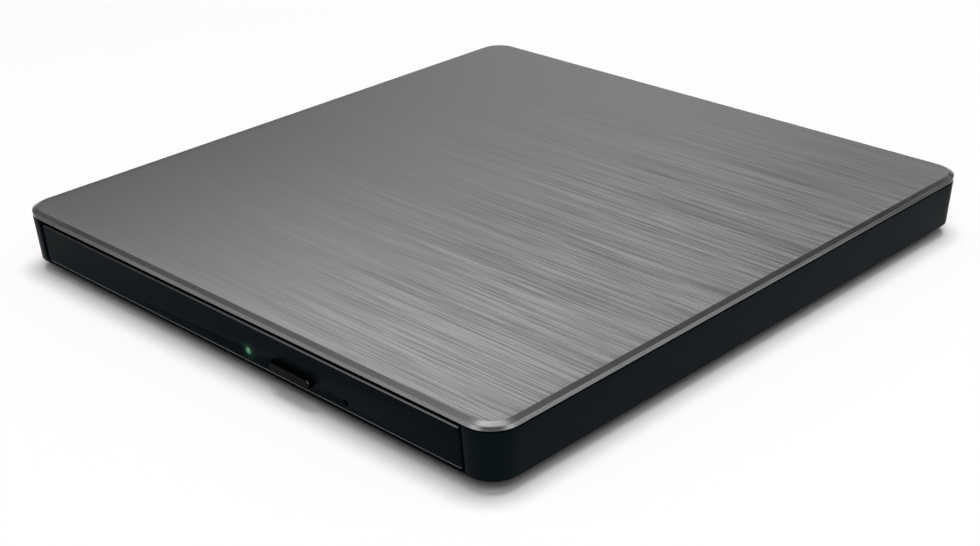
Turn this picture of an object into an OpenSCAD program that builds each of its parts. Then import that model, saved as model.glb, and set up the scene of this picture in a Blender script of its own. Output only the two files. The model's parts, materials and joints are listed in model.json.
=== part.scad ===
// External slim disc drive: a low case with a brushed top plate and a drawer tray.
// Millimetres. X runs to the right as seen from the front, Y to the back, Z up.
// The origin is the centre of the plan, on the plane that the feet stand on.

/* [Case] */
// Air between the drive's bay and the inside of each side wall
side_air = 1.75; // [1.5:0.05:8]
// Room behind the tray for the main board
board_room = 12.8; // [12:0.1:28]
// Height of the ribs under the lid that hold the drive down
lid_air = 0.6; // [0.4:0.1:2.6]
// Radius of the upright corners
corner_r = 6.1; // [6:0.1:8]
// Thickness of the case walls
wall_t = 2; // [1.6:0.1:2.2]
// Thickness of the case floor
floor_t = 1.2; // [1:0.1:1.4]
// Inward lean of the walls from top to bottom
wall_draft = 0.7; // [0.2:0.1:0.8]
// Rise of the dished underside from its flat to the lower edge of the walls
skirt_rise = 1.7; // [1.6:0.1:2.2]
// Width of the sloping edge around the top face
bevel_w = 1.1; // [0.8:0.1:1.6]
// Height of that sloping edge
bevel_h = 0.5; // [0.3:0.1:0.6]
// Height of the upright rim below the sloping edge
rim_h = 0.9; // [0.6:0.1:1.1]
// Thickness of the rim
rim_t = 0.8; // [0.5:0.1:1]
// Thickness of the top plate's flat
plate_t = 0.6; // [0.5:0.1:0.8]
// Diameter of a foot
foot_d = 9; // [6:0.5:12]
// Height of the feet below the underside
foot_proud = 1; // [0.8:0.1:1.3]
// Diameter of a case screw's shank
case_screw_d = 2; // [1.6:0.1:2.2]

/* [Front] */
// Overlap of the front panel past each edge of the tray
bezel_lap = 2; // [1.5:0.1:2.5]
// Depth from the front of the case to the back of the panel
bezel_back = 3; // [2.6:0.1:3.4]
// Gap at each end of the panel
bezel_gap = 0.6; // [0.3:0.1:0.6]
// Width of the eject button
button_w = 11.7; // [9:0.1:13]
// Height of the eject button
button_h = 2; // [1.6:0.1:2.4]
// Button centre to the right of the middle
button_x = 18.2; // [16:0.1:19]
// Status light to the right of the middle
led_x = 5.7; // [2:0.1:7]
// Diameter of the light pipe
led_d = 1.4; // [1:0.1:1.6]
// Emergency hole to the right of the middle
hole_x = 32.5; // [31.5:0.1:33.5]
// Diameter of the emergency hole
hole_d = 1.3; // [1:0.1:1.5]

/* [Drive] */
// Height of the drive over its pan and cover
drive_h = 9.5; // [9.3:0.1:9.7]
// Reach of the pan behind the tray
pan_rear = 4.5; // [4:0.1:5]
// Thickness of the pan and cover sheet
sheet_t = 0.4; // [0.3:0.1:0.5]
// Distance from the back of the tray to the back of a rail
rail_end = 4.5; // [3:0.1:18]
// Height of a rail
rail_h = 2.8; // [2.6:0.1:3.2]
// Disc diameter that the tray takes
disc_d = 120; // [108:0.5:134]
// Overhang of the disc past each side of the tray
disc_over = 1; // [0.5:0.1:1.5]
// Tray in front of the disc
tray_front = 2; // [1.8:0.1:2.4]
// Tray behind the disc
tray_rear = 3.5; // [3:0.1:5]
// Diameter of the small disc's recess
small_disc_d = 80; // [76:0.5:82]
// Distance that the tray travels
tray_travel = 125; // [110:1:126]

/* [Pickup] */
// Direction in which the pickup runs outward, from the X axis
sled_angle = 225; // [224:0.5:226]
// Lens distance from the spindle axis at rest
lens_rest = 28; // [24:0.5:34]
// Distance of each guide rod from the spindle's line
rod_v = 11; // [10.6:0.1:11.2]
// Diameter of the main guide rod
main_rod_d = 2.4; // [2:0.1:2.4]
// Diameter of the second guide rod
sub_rod_d = 2; // [1.6:0.1:2.2]
// Outer diameter of the lead screw
screw_d = 1.4; // [1.2:0.1:1.5]
// Diameter of the turntable
turntable_d = 29; // [27:0.5:29.5]
// Diameter of the hub that centres the disc
hub_d = 14.8; // [14.4:0.1:14.9]
// Diameter of the spindle's shaft
shaft_d = 2; // [1.6:0.1:2.4]
// Diameter of the objective lens
lens_d = 4; // [3:0.1:4.4]

/* [Rear] */
// Socket centre to the right of the middle
usb_x = 36; // [20:0.5:40]
// Width of the socket's shell
usb_w = 7.7; // [7.5:0.1:8.2]
// Height of the socket's shell
usb_h = 3.9; // [3.6:0.1:4.2]
// Thickness of the main board
board_t = 1; // [0.8:0.1:1.2]
// Width of the flat cable
ribbon_w = 16; // [10:0.5:17]

/* [Hidden] */
$fn = 64;

// Clearances
run_clear = 0.03;
fit_clear = 0.1;
slide_clear = 0.3;
bay_clear = 0.3;

// Rails beside the tray, guides outside them, then pan, cover and case wall
rail_t = 0.4;
rail_w = 1.6;
guide_wall = 2;
tray_hw = disc_d / 2 - disc_over;
rail_x0 = tray_hw + slide_clear;
rail_x1 = rail_x0 + rail_w;
guide_x0 = rail_x0 + 0.8;
guide_in = rail_x1 + slide_clear;
guide_out = guide_in + guide_wall;
pan_hw = guide_out + sheet_t;
drive_hw = pan_hw + sheet_t;
bay_hw = drive_hw + bay_clear;

// Case
wall_inset = 0;
wall_low = wall_inset + wall_draft;
seam_gap = 0.3;
wall_in_x = bay_hw + side_air;
case_w = 2 * (wall_in_x + wall_t + wall_low);
case_d = bezel_back + tray_front + disc_d + tray_rear + board_room + wall_t + wall_low;
case_h = foot_proud + floor_t + drive_h + lid_air + seam_gap + rim_h + bevel_h;
half_w = case_w / 2;
half_d = case_d / 2;
front_y = -half_d;
base_corner_r = 0.5;
foot_pocket = 0.4;
z_base = foot_proud;
z_floor = z_base + floor_t;
z_wall = z_base + skirt_rise;
z_bevel = case_h - bevel_h;
z_rim = z_bevel - rim_h;
z_seam = z_rim - seam_gap;
z_plate = case_h - plate_t;
wall_in_y = half_d - wall_low - wall_t;
lid_inset = rim_t + fit_clear;

// Heights inside the drive
z_pan = z_floor + sheet_t;
z_lid1 = z_floor + drive_h;
z_lid0 = z_lid1 - sheet_t;
under_tray = 1.1;
shield_t = 0.3;
z_shield = z_pan + under_tray;
z_tray = z_shield + shield_t;
deck_t = 1.2;
z_under = z_tray + 2;
z_deck = z_under + deck_t;
z_seat = z_deck - 0.3;
z_small = z_deck - 0.2;
z_tray_rim = z_deck + 2.4;
z_disc = z_deck + 1.2;
z_sill = z_shield - slide_clear;
z_ledge = z_pan + 1.2;

// Plan of the drive and tray
bezel_w = 2 * (tray_hw + bezel_lap);
mouth_hw = bezel_w / 2 + bezel_gap;
tray_y0 = front_y + bezel_back;
spindle_y = tray_y0 + tray_front + disc_d / 2;
tray_y1 = spindle_y + disc_d / 2 + tray_rear;
drive_front = tray_y0 + 5;
drive_rear = tray_y1 + pan_rear;
tray_wall = 1.5;
tray_in_x = tray_hw - tray_wall;
tray_in_y0 = tray_y0 + 2.5;
tray_in_y1 = tray_y1 - 2;
disc_recess_r = disc_d / 2 + 0.3;
small_recess_r = small_disc_d / 2 + 0.3;
notch_r = 8;

// Case screws and the lid posts that they enter
post_r = case_screw_d / 2 + 0.8;
post_socket_r = post_r + fit_clear;
post_x = mouth_hw + 0.9 + post_socket_r;
post_y = half_d - 5.2;
post_len = 5.2;
post_low = z_seam - post_len;
screw_seat = z_base + 3.4;
screw_head_r = case_screw_d / 2 + 0.8;
screw_head_h = 1.2;
screw_len = 6;

// Rails and guides
rail_z0 = z_tray + fit_clear;
rail_z1 = rail_z0 + rail_h;
rail_y0 = tray_y0 + 7;
rail_y1 = tray_y1 - rail_end;
rib_x1 = rail_x1 - rail_t - slide_clear;
rib_z0 = rail_z0 + rail_t + 0.2;
rib_z1 = rail_z1 - rail_t - 0.2;
guide_z1 = rail_z1 + slide_clear + 0.5;
guide_y0 = drive_front + 1;
guide_y1 = drive_rear - 16;
pillar_w = 1.6;
pillar_len = 4;
pillar_x = guide_out - pillar_w / 2;
pillar_front = guide_y0 + 8;
pillar_rear = guide_y1 - 5;
cover_screw_r = 0.45;

// Front panel and what passes through it
z_lip = z_sill - 0.3;
bezel_z0 = z_lip + 0.2;
bezel_z1 = z_seam - 0.5;
bezel_edge = 0.3;
lean = wall_draft / (z_seam - z_wall);
button_z = z_sill + 1.45 + button_h / 2;
button_clear = 0.12;
button_proud = 1.1;
button_flange = 1;
button_stroke = 0.6;
led_z = z_under - 0.05;
hole_z = z_under - 0.9;
front_wall_y = tray_in_y0;
front_board_z0 = z_tray + 0.2;
front_board_t = 0.7;
front_board_z1 = front_board_z0 + front_board_t;
front_board_y0 = front_wall_y + 0.3;
front_board_y1 = front_board_y0 + 4.7;
front_board_x0 = led_x - 7.7;
front_board_x1 = button_x + 10.8;
part_h = z_under - 0.1 - front_board_z1;

// Pickup unit, in its own frame: u runs outward along the sled, v across it
rod_z = z_tray + 1.5;
frame_z0 = z_tray + 0.6;
frame_t = 0.6;
frame_z1 = frame_z0 + frame_t;
holder_top = rod_z + main_rod_d / 2 - 0.05;
sled_corner = 12;
sled_u1 = (tray_in_x - 0.9) / abs(cos(sled_angle)) - sled_corner * abs(tan(sled_angle));
rod_u0 = 12.6;
rod_u1 = sled_u1 - 1;
window_u0 = 15;
window_u1 = rod_u1 - 2.5;
window_v = rod_v + 2.4;
carriage_half = 6.8;
carriage_v = 8.8;
carriage_z0 = z_tray + 0.5;
carriage_z1 = z_seat - 0.3;
bushing_v = rod_v + 2;
lead_v = rod_v + 5;
lead_z = frame_z1 + 0.8;
lead_u0 = 18.5;
lead_u1 = window_u1 - 4.2;
lead_pitch = 3;
journal_r = 0.45;
bearing_u0 = lead_u1 + 0.4;
bearing_u1 = bearing_u0 + 1.6;
motor_u0 = 5;
motor_u1 = 15.2;
motor_v0 = lead_v - 2.8;
motor_v1 = lead_v + 2.8;
plate_r = disc_d / 2 - 1.5;
slot_v = 5.2;
slot_u0 = 16;
damper_u1 = sled_u1 - 24;
damper_points = [[-9, 20], [damper_u1, 20], [-9, -25.5], [damper_u1, -25.5]];
damper_r = 2.2;
traverse_screw_r = 1;
turntable_r = turntable_d / 2;
turntable_t = 0.6;
pad_t = 0.3;
z_turntable = z_disc - pad_t;
cup_r = 11;
cup_in = 10;
stator_r = 9.2;
motor_base_r = 12;
hub_r = hub_d / 2;
hub_top = z_turntable + 2.2;
claw_w = 2.7;
claw_z0 = hub_top - 1.05;
claw_z1 = hub_top - 0.2;
claw_in = 3.8;
claw_stroke = 0.5;
holder_u = lens_d / 2 + 1;
holder_v = lens_d / 2 + 2;
holder_z0 = carriage_z0 + 1.2;
holder_z1 = z_seat + 0.3;
lens_seat = holder_z1 - 0.4;
focus_room = 0.5;

// Latch, in the tray's front right
latch_post_x = hole_x + 13.5;
latch_post_y = front_y + 14;
latch_post_r = 1;
channel_x0 = latch_post_x - latch_post_r - 0.7;
channel_x1 = latch_post_x + latch_post_r + 0.7;
pivot_x = latch_post_x - 6.5;
pivot_y = latch_post_y + 9.5;
pivot_r = 1;
lever_z0 = z_tray + 0.4;
lever_z1 = lever_z0 + 0.9;
hook_x = pivot_x + 4;
hook_y = pivot_y - 8.6;
tail_x = hole_x + 1;
tail_y = pivot_y + 0.5;
tail_r = 0.9;
prong_gap = 1.3;
prong_t = 0.8;
plunger_r = 0.65;
plunger_z = z_tray + 1.1;
plunger_end = pivot_y + 11;
solenoid_y0 = pivot_y + 3.5;
solenoid_y1 = pivot_y + 13;
slider_w = 1.8;
slider_y1 = tail_y - prong_gap - prong_t - 4.4;

// Eject pusher, in the tray's rear right
pusher_x = (channel_x1 + tray_in_x) / 2;
pusher_z = z_tray + 1;
pusher_r = 0.6;
spring_r = 0.9;
pusher_y0 = tray_y1 - 28;
pusher_y1 = drive_rear - sheet_t - slide_clear;
stop_x0 = pusher_x - 2;

// Main board, socket and flat cable
board_hw = stop_x0 - 2.6;
board_y0 = tray_y1 + 1.1;
board_z1 = z_ledge + board_t;
usb_len = 9.3;
usb_y1 = half_d - wall_low - 0.6;
usb_wall = 0.35;
ribbon_x0 = -14 - ribbon_w;
ribbon_x1 = -14;
ribbon_t = 0.2;
ribbon_low = z_pan;
ribbon_high = z_shield - 0.5;
ribbon_y1 = board_y0 + 1.6;
ribbon_end = tray_y1 - 5.5;
ribbon_fold = ribbon_end - tray_travel / 2 - 2;
tray_board_z0 = z_under - 0.7;

// A block between two corners
module block(x0, x1, y0, y1, z0, z1) {
  translate([x0, y0, z0]) cube([x1 - x0, y1 - y0, z1 - z0]);
}

// An upright round bar
module pillar(x, y, r, z0, z1) {
  translate([x, y, z0]) cylinder(r = r, h = z1 - z0);
}

// A round bar along X
module bar_x(y, z, r, x0, x1) {
  translate([x0, y, z]) rotate([0, 90, 0]) cylinder(r = r, h = x1 - x0);
}

// A round bar along Y
module bar_y(x, z, r, y0, y1) {
  translate([x, y0, z]) rotate([-90, 0, 0]) cylinder(r = r, h = y1 - y0);
}

// A slab with round corners whose edge follows an outline of [inset, height] points.
// The outline starts and ends at an inset equal to the corner radius.
module swept_slab(w, d, r, outline) {
  section = [for (p = outline) [r - p[0], p[1]]];
  block(-w / 2 + r, w / 2 - r, -d / 2 + r, d / 2 - r, outline[0][1], outline[len(outline) - 1][1]);
  for (turn = [0, 90, 180, 270]) {
    across = (turn % 180 == 0) ? w / 2 - r : d / 2 - r;
    along = (turn % 180 == 0) ? d / 2 - r : w / 2 - r;
    rotate([0, 0, turn]) translate([across, along, 0]) {
      rotate([90, 0, 0]) linear_extrude(2 * along) polygon(section);
      rotate_extrude(angle = 90) polygon(section);
    }
  }
}

// An upright-sided slab with round corners
module round_slab(w, d, r, z0, z1) {
  swept_slab(w, d, r, [[r, z0], [0, z0], [0, z1], [r, z1]]);
}

// Repeats its child at the four case screws
module at_case_screws() {
  for (side = [-1, 1], end = [-1, 1]) translate([side * post_x, end * post_y, 0]) children();
}

// Repeats its child at the four feet
module at_feet() {
  for (side = [-1, 1], end = [-1, 1])
    translate([side * (half_w - 17), end * (half_d - 15), 0]) children();
}

// Repeats its child at the pan's four cover screws
module at_cover_screws() {
  for (side = [-1, 1], y = [pillar_front, pillar_rear]) translate([side * pillar_x, y, 0]) children();
}

// Repeats its child at the tray's underside screws
module at_shield_screws() {
  edge_x = tray_in_x - 3;
  inner_x = channel_x0 - 8.3;
  front = tray_in_y0 + 6;
  for (p = [[-edge_x, front], [edge_x, front], [-edge_x, tray_in_y1 - 7], [inner_x, tray_in_y1 - 5]])
    translate([p[0], p[1], 0]) children();
}

// Places its child in the pickup unit's frame
module at_sled() {
  translate([0, spindle_y, 0]) rotate([0, 0, sled_angle]) children();
}

// Repeats its child at the pickup unit's rubber mounts
module at_dampers() {
  at_sled() for (p = damper_points) translate([p[0], p[1], 0]) children();
}

// Brushed metal cap over the whole top
module top_plate() {
  color("silver") difference() {
    swept_slab(case_w, case_d, corner_r,
      [[corner_r, z_rim], [0, z_rim], [0, z_bevel], [bevel_w, case_h], [corner_r, case_h]]);
    round_slab(case_w - 2 * rim_t, case_d - 2 * rim_t, corner_r - rim_t, z_rim - 1, z_plate);
  }
}

// Black lid bonded under the plate, with screw posts and ribs that hold the drive down
module cover_frame() {
  color("dimgray") difference() {
    union() {
      round_slab(case_w - 2 * lid_inset, case_d - 2 * lid_inset, corner_r - lid_inset, z_seam, z_plate);
      at_case_screws() pillar(0, 0, post_r, post_low, z_seam);
      for (side = [-1, 1])
        block(side * 40 - 1, side * 40 + 1, drive_front + 12, drive_rear - 12, z_lid1, z_seam);
    }
    at_case_screws() pillar(0, 0, case_screw_d / 2 + fit_clear / 2, post_low - 1, z_seam - 0.8);
  }
}

// Black tub with leaning walls, a dished underside and the mouth for the tray
module bottom_case() {
  color("black") difference() {
    swept_slab(case_w, case_d, corner_r,
      [[corner_r, z_base], [corner_r - base_corner_r, z_base], [wall_low, z_wall],
       [wall_inset, z_seam], [corner_r, z_seam]]);
    block(-bay_hw, bay_hw, drive_front - bay_clear, drive_rear + bay_clear, z_floor, z_seam + 1);
    block(-wall_in_x, wall_in_x, drive_front + 6, drive_rear - 5, z_floor + 3, z_seam + 1);
    block(-board_hw - 2, board_hw + 2, drive_rear, wall_in_y, z_ledge, z_seam + 1);
    block(-mouth_hw, mouth_hw, front_y - 1, drive_front, z_sill, z_seam + 1);
    block(-mouth_hw, mouth_hw, front_y - 1, tray_y0 + 0.2, z_lip, z_seam);
    block(usb_x - usb_w / 2 - slide_clear, usb_x + usb_w / 2 + slide_clear, wall_in_y - 1, half_d + 1,
      board_z1 - slide_clear, board_z1 + usb_h + slide_clear);
    at_feet() pillar(0, 0, foot_d / 2 + fit_clear, z_base - 1, z_base + foot_pocket);
    at_case_screws() {
      pillar(0, 0, screw_head_r + 0.2, 0, screw_seat);
      pillar(0, 0, case_screw_d / 2 + 0.2, screw_seat - 1, post_low);
      pillar(0, 0, post_socket_r, post_low - fit_clear, z_seam + 1);
    }
    block(-34, 34, -20, 22, z_base - 1, z_base + 0.2);
  }
}

// Four rubber pads with a rounded lower edge
module rubber_feet() {
  color("darkgray") at_feet() {
    cylinder(r1 = foot_d / 2 - 0.4, r2 = foot_d / 2, h = 0.4);
    pillar(0, 0, foot_d / 2, 0.4, z_base + foot_pocket);
  }
}

// Four cross-slot screws that hold the lid to the tub
module case_screws() {
  color("gray") at_case_screws() difference() {
    union() {
      pillar(0, 0, screw_head_r, screw_seat - screw_head_h, screw_seat);
      pillar(0, 0, case_screw_d / 2, screw_seat, screw_seat + screw_len);
    }
    for (turn = [0, 90]) rotate([0, 0, turn])
      block(-1.2, 1.2, -0.25, 0.25, screw_seat - screw_head_h - 1, screw_seat - screw_head_h + 0.6);
  }
}

// Pressed steel pan with upright sides and two stops at the back
module drive_chassis() {
  color("lightsteelblue") {
    block(-pan_hw, pan_hw, drive_front, drive_rear, z_floor, z_pan);
    for (side = [0, 1]) mirror([side, 0, 0]) {
      block(pan_hw - sheet_t, pan_hw, drive_front, drive_rear, z_floor, z_lid0);
      block(stop_x0, pan_hw, drive_rear - sheet_t, drive_rear, z_floor, z_pan + 6);
    }
  }
}

// Pressed steel cover whose sides lap the pan's
module chassis_cover() {
  color("lightsteelblue") difference() {
    union() {
      block(-drive_hw, drive_hw, drive_front, drive_rear, z_lid0, z_lid1);
      for (side = [0, 1]) mirror([side, 0, 0])
        block(pan_hw, drive_hw, drive_front, drive_rear, z_lid0 - 3, z_lid1);
    }
    at_cover_screws() pillar(0, 0, cover_screw_r + fit_clear, z_lid0 - 1, z_lid1 + 1);
  }
}

// Small screws through the cover into the rail guides
module cover_screws() {
  color("gray") at_cover_screws() {
    pillar(0, 0, cover_screw_r, z_lid1 - 3, z_lid1);
    pillar(0, 0, cover_screw_r + 0.55, z_lid1, z_lid1 + 0.2);
  }
}

// Plastic channel on the pan's right side that holds a rail
module rail_guide() {
  difference() {
    union() {
      block(guide_x0, guide_out, guide_y0, guide_y1, z_pan, guide_z1);
      for (y = [pillar_front, pillar_rear])
        block(guide_out - pillar_w, guide_out, y - pillar_len / 2, y + pillar_len / 2, z_pan, z_lid0);
    }
    block(guide_x0 - 1, guide_in, guide_y0 - 1, guide_y1 + 1, rail_z0 - slide_clear, rail_z1 + slide_clear);
    for (y = [pillar_front, pillar_rear])
      pillar(pillar_x, y, cover_screw_r + fit_clear / 2, z_lid0 - 3, z_lid0 + 1);
  }
}

// Rail guide on the left
module rail_guide_left() {
  color("ivory") mirror([1, 0, 0]) rail_guide();
}

// Rail guide on the right
module rail_guide_right() {
  color("ivory") rail_guide();
}

// Steel post in the pan that the tray's latch hooks behind
module latch_post() {
  color("silver") pillar(latch_post_x, latch_post_y, latch_post_r, z_pan, lever_z1 + 0.3);
}

// Circuit board on the ledge behind the tray
module main_board() {
  color("darkgreen") block(-board_hw, board_hw, board_y0, wall_in_y, z_ledge, board_z1);
}

// Packaged chips on the main board
module controller_chips() {
  color("black") {
    block(-16, -7, board_y0 + 1.3, board_y0 + 10.3, board_z1, board_z1 + 1.2);
    block(2, 9, board_y0 + 2.3, board_y0 + 9.3, board_z1, board_z1 + 1);
    block(-36, -30, board_y0 + 3, board_y0 + 8, board_z1, board_z1 + 1.4);
  }
}

// Round capacitors on the main board
module board_capacitors() {
  color("silver") for (x = [15, 21, -24]) pillar(x, board_y0 + 6, 2, board_z1, board_z1 + 4);
}

// Folded metal shell of the rear socket
module usb_socket_shell() {
  color("silver") difference() {
    block(usb_x - usb_w / 2, usb_x + usb_w / 2, usb_y1 - usb_len, usb_y1, board_z1, board_z1 + usb_h);
    block(usb_x - usb_w / 2 + usb_wall, usb_x + usb_w / 2 - usb_wall, usb_y1 - usb_len + 0.5, usb_y1 + 1,
      board_z1 + usb_wall, board_z1 + usb_h - usb_wall);
  }
}

// Contact tongue standing in the socket's shell
module usb_socket_tongue() {
  color("black") {
    block(usb_x - usb_w / 2 + usb_wall, usb_x + usb_w / 2 - usb_wall, usb_y1 - usb_len + 0.5,
      usb_y1 - usb_len + 2, board_z1 + usb_wall, board_z1 + usb_h - usb_wall);
    block(usb_x - 2.2, usb_x + 2.2, usb_y1 - usb_len + 2, usb_y1 - 1.2, board_z1 + usb_h / 2 - 0.4,
      board_z1 + usb_h / 2 + 0.4);
  }
}

// Clamp for the flat cable under the main board
module ribbon_connector() {
  color("ivory")
    block(ribbon_x0 - 1, ribbon_x1 + 1, board_y0 + 0.3, board_y0 + 2.8, ribbon_low + ribbon_t, z_ledge);
}

// Flat cable folded once between the pan and the tray's underside
module ribbon_cable() {
  fold_r = (ribbon_high + ribbon_t - ribbon_low) / 2;
  color("saddlebrown") {
    block(ribbon_x0, ribbon_x1, ribbon_fold, ribbon_y1, ribbon_low, ribbon_low + ribbon_t);
    block(ribbon_x0, ribbon_x1, ribbon_fold, ribbon_end, ribbon_high, ribbon_high + ribbon_t);
    block(ribbon_x0, ribbon_x1, ribbon_end - ribbon_t, ribbon_end, ribbon_high, z_tray + 0.1);
    intersection() {
      difference() {
        bar_x(ribbon_fold, ribbon_low + fold_r, fold_r, ribbon_x0, ribbon_x1);
        bar_x(ribbon_fold, ribbon_low + fold_r, fold_r - ribbon_t, ribbon_x0 - 1, ribbon_x1 + 1);
      }
      block(ribbon_x0 - 1, ribbon_x1 + 1, ribbon_fold - 2, ribbon_fold, ribbon_low - 1, ribbon_high + 2);
    }
  }
}

// Steel channel that carries the tray's right edge
module rail() {
  difference() {
    block(rail_x0, rail_x1, rail_y0, rail_y1, rail_z0, rail_z1);
    block(rail_x0 - 1, rail_x1 - rail_t, rail_y0 - 1, rail_y1 + 1, rail_z0 + rail_t, rail_z1 - rail_t);
  }
}

// Left rail
module rail_left() {
  color("lightsteelblue") mirror([1, 0, 0]) rail();
}

// Right rail
module rail_right() {
  color("lightsteelblue") rail();
}

// The tray's hollow underside
module tray_hollow(z1) {
  block(-tray_in_x, tray_in_x, tray_in_y0, tray_in_y1, z_tray - 1, z1);
}

// Room for the pickup unit's frame, rods and screw
module sled_room(z0, z1) {
  at_sled() block(-13.4, rod_u1 + 1.4, -lead_v - 3.4, window_v + 0.6, z0, z1);
}

// Tray with two disc recesses, finger notches and the openings of the pickup unit
module disc_tray() {
  color("dimgray") difference() {
    union() {
      difference() {
        union() {
          block(-tray_hw, tray_hw, tray_y0, tray_y1, z_tray, z_tray_rim);
          for (side = [0, 1]) mirror([side, 0, 0])
            block(tray_hw, rib_x1, tray_y0 + 2, tray_y1 - 2, rib_z0, rib_z1);
        }
        tray_hollow(z_under);
      }
      pillar(pivot_x, pivot_y, pivot_r, z_tray + 0.1, z_under);
      for (x = [front_board_x0 + 2, front_board_x1 - 2])
        pillar(x, (front_board_y0 + front_board_y1) / 2, 1.2, front_board_z1, z_under);
      at_shield_screws() pillar(0, 0, 1.6, z_tray, z_under);
      block(pusher_x - 2, pusher_x + 2, pusher_y0 + 1, pusher_y0 + 4, z_tray + 0.1, z_under);
    }
    pillar(0, spindle_y, disc_recess_r, z_deck, z_tray_rim + 1);
    pillar(0, spindle_y, small_recess_r, z_small, z_tray_rim + 1);
    for (turn = [-43, 43]) translate([0, spindle_y, 0]) rotate([0, 0, turn])
      pillar(0, -disc_recess_r - 4.1, notch_r, z_deck + 0.8, z_tray_rim + 1);
    pillar(0, spindle_y + disc_recess_r, notch_r + 1, z_deck + 0.8, z_tray_rim + 1);
    intersection() {
      tray_hollow(z_seat - 0.1);
      sled_room(z_tray - 1, z_seat - 0.1);
    }
    intersection() {
      pillar(0, spindle_y, plate_r + 0.15, z_under - 1, z_deck + 1);
      union() {
        sled_room(z_under - 1, z_deck + 1);
        at_sled() block(-19.15, plate_r + 1, -lead_v - 7.15, window_v + 4.25, z_seat, z_deck + 1);
      }
    }
    at_sled() block(slot_u0, disc_d / 2, -slot_v, slot_v, z_under - 1, z_deck + 1);
    at_dampers() pillar(0, 0, traverse_screw_r + fit_clear / 2, z_under - 1, z_under + 0.65);
    at_shield_screws() pillar(0, 0, 0.55, z_tray - 1, z_under);
    block(channel_x0, channel_x1, tray_in_y1 - 1, tray_y1 + 1, z_tray - 1, z_under);
    bar_y(pusher_x, pusher_z, pusher_r + fit_clear, pusher_y0, tray_y1 + 1);
    block(button_x - button_w / 2 - button_flange - 0.4, button_x + button_w / 2 + button_flange + 0.4,
      tray_y0 - 1, tray_y0 + button_stroke + 0.6, bezel_z0, button_z + button_h / 2 + button_flange + 0.3);
    block(button_x - 2, button_x + 2, tray_y0 - 1, front_wall_y + 1, button_z - 0.7, button_z + 0.7);
    bar_y(led_x, led_z, led_d / 2 + fit_clear, tray_y0 - 1, front_wall_y + 1);
    bar_y(hole_x, hole_z, hole_d / 2 + 0.2, tray_y0 - 1, front_wall_y + 1);
  }
}

// Leaning front panel of the tray
module front_bezel() {
  low_y = front_y + wall_inset + lean * (z_seam - bezel_z0);
  high_y = front_y + wall_inset + lean * (z_seam - bezel_z1);
  back_y = front_y + bezel_back;
  color("black") difference() {
    translate([-bezel_w / 2, 0, 0]) rotate([90, 0, 90]) linear_extrude(bezel_w)
      polygon([[back_y, bezel_z0], [low_y + bezel_edge, bezel_z0], [low_y, bezel_z0 + bezel_edge],
        [high_y, bezel_z1 - bezel_edge], [high_y + bezel_edge, bezel_z1], [back_y, bezel_z1]]);
    button_shape(button_clear, front_y - 1, back_y + 1);
    block(button_x - button_w / 2 - button_flange - 0.2, button_x + button_w / 2 + button_flange + 0.2,
      back_y - 1, back_y + 1, button_z - button_h / 2 - button_clear,
      button_z + button_h / 2 + button_flange + 0.2);
    bar_y(led_x, led_z, led_d / 2 + fit_clear / 2, front_y - 1, back_y + 1);
    bar_y(hole_x, hole_z, hole_d / 2, front_y - 1, back_y + 1);
  }
}

// Round-ended bar in the shape of the button, grown by a clearance
module button_shape(grow, y0, y1) {
  end_r = button_h / 2 + grow;
  run = button_w / 2 - button_h / 2;
  block(button_x - run, button_x + run, y0, y1, button_z - end_r, button_z + end_r);
  for (side = [-1, 1]) bar_y(button_x + side * run, button_z, end_r, y0, y1);
}

// Eject button with a retaining flange and a stem towards the switch
module eject_button() {
  face_y = front_y + wall_inset + lean * (z_seam - button_z) - button_proud;
  flange_y = front_y + bezel_back - 0.85;
  color("black") {
    button_shape(0, face_y, flange_y + 0.6);
    block(button_x - button_w / 2 - button_flange, button_x + button_w / 2 + button_flange, flange_y,
      flange_y + 0.6, button_z - button_h / 2, button_z + button_h / 2 + button_flange);
    block(button_x - 1.5, button_x + 1.5, flange_y, front_wall_y + 0.15, button_z - 0.4, button_z + 0.4);
  }
}

// Clear rod that carries the status light to the panel
module led_light_pipe() {
  face_y = front_y + wall_inset + lean * (z_seam - led_z);
  color("palegreen") bar_y(led_x, led_z, led_d / 2, face_y, front_wall_y - 0.1);
}

// Narrow board behind the panel
module front_board() {
  color("darkgreen")
    block(front_board_x0, front_board_x1, front_board_y0, front_board_y1, front_board_z0, front_board_z1);
}

// Side-push switch behind the button's stem
module eject_switch() {
  color("silver")
    block(button_x - 2.3, button_x + 2.3, front_wall_y + 0.9, front_wall_y + 3.6, front_board_z1,
      front_board_z1 + part_h);
}

// Light source behind the light pipe
module led_chip() {
  color("palegreen")
    block(led_x - 0.8, led_x + 0.8, front_wall_y + 0.3, front_wall_y + 1.5, front_board_z1,
      front_board_z1 + part_h);
}

// Steel sheet that closes the tray's underside
module bottom_shield() {
  color("lightsteelblue") difference() {
    block(-tray_hw + 0.5, tray_hw - 0.5, tray_y0 + 0.5, tray_y1 - 0.5, z_shield, z_tray);
    block(channel_x0, channel_x1, latch_post_y - latch_post_r - 0.7, tray_y1 + 1, z_shield - 1, z_tray + 1);
    block(ribbon_x0 - 0.4, ribbon_x1 + 0.4, ribbon_end - 0.7, ribbon_end + 0.5, z_shield - 1, z_tray + 1);
    at_shield_screws() pillar(0, 0, 0.6, z_shield - 1, z_tray + 1);
  }
}

// Flat-headed screws under the tray
module shield_screws() {
  color("gray") at_shield_screws() {
    pillar(0, 0, 1.1, z_shield - 0.15, z_shield);
    pillar(0, 0, 0.5, z_shield, z_tray + 1.6);
  }
}

// A block that holds one end of a guide rod
module rod_holder(u0, u1, v) {
  block(u0, u1, v - 2, v + 2, frame_z0, holder_top);
}

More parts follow.
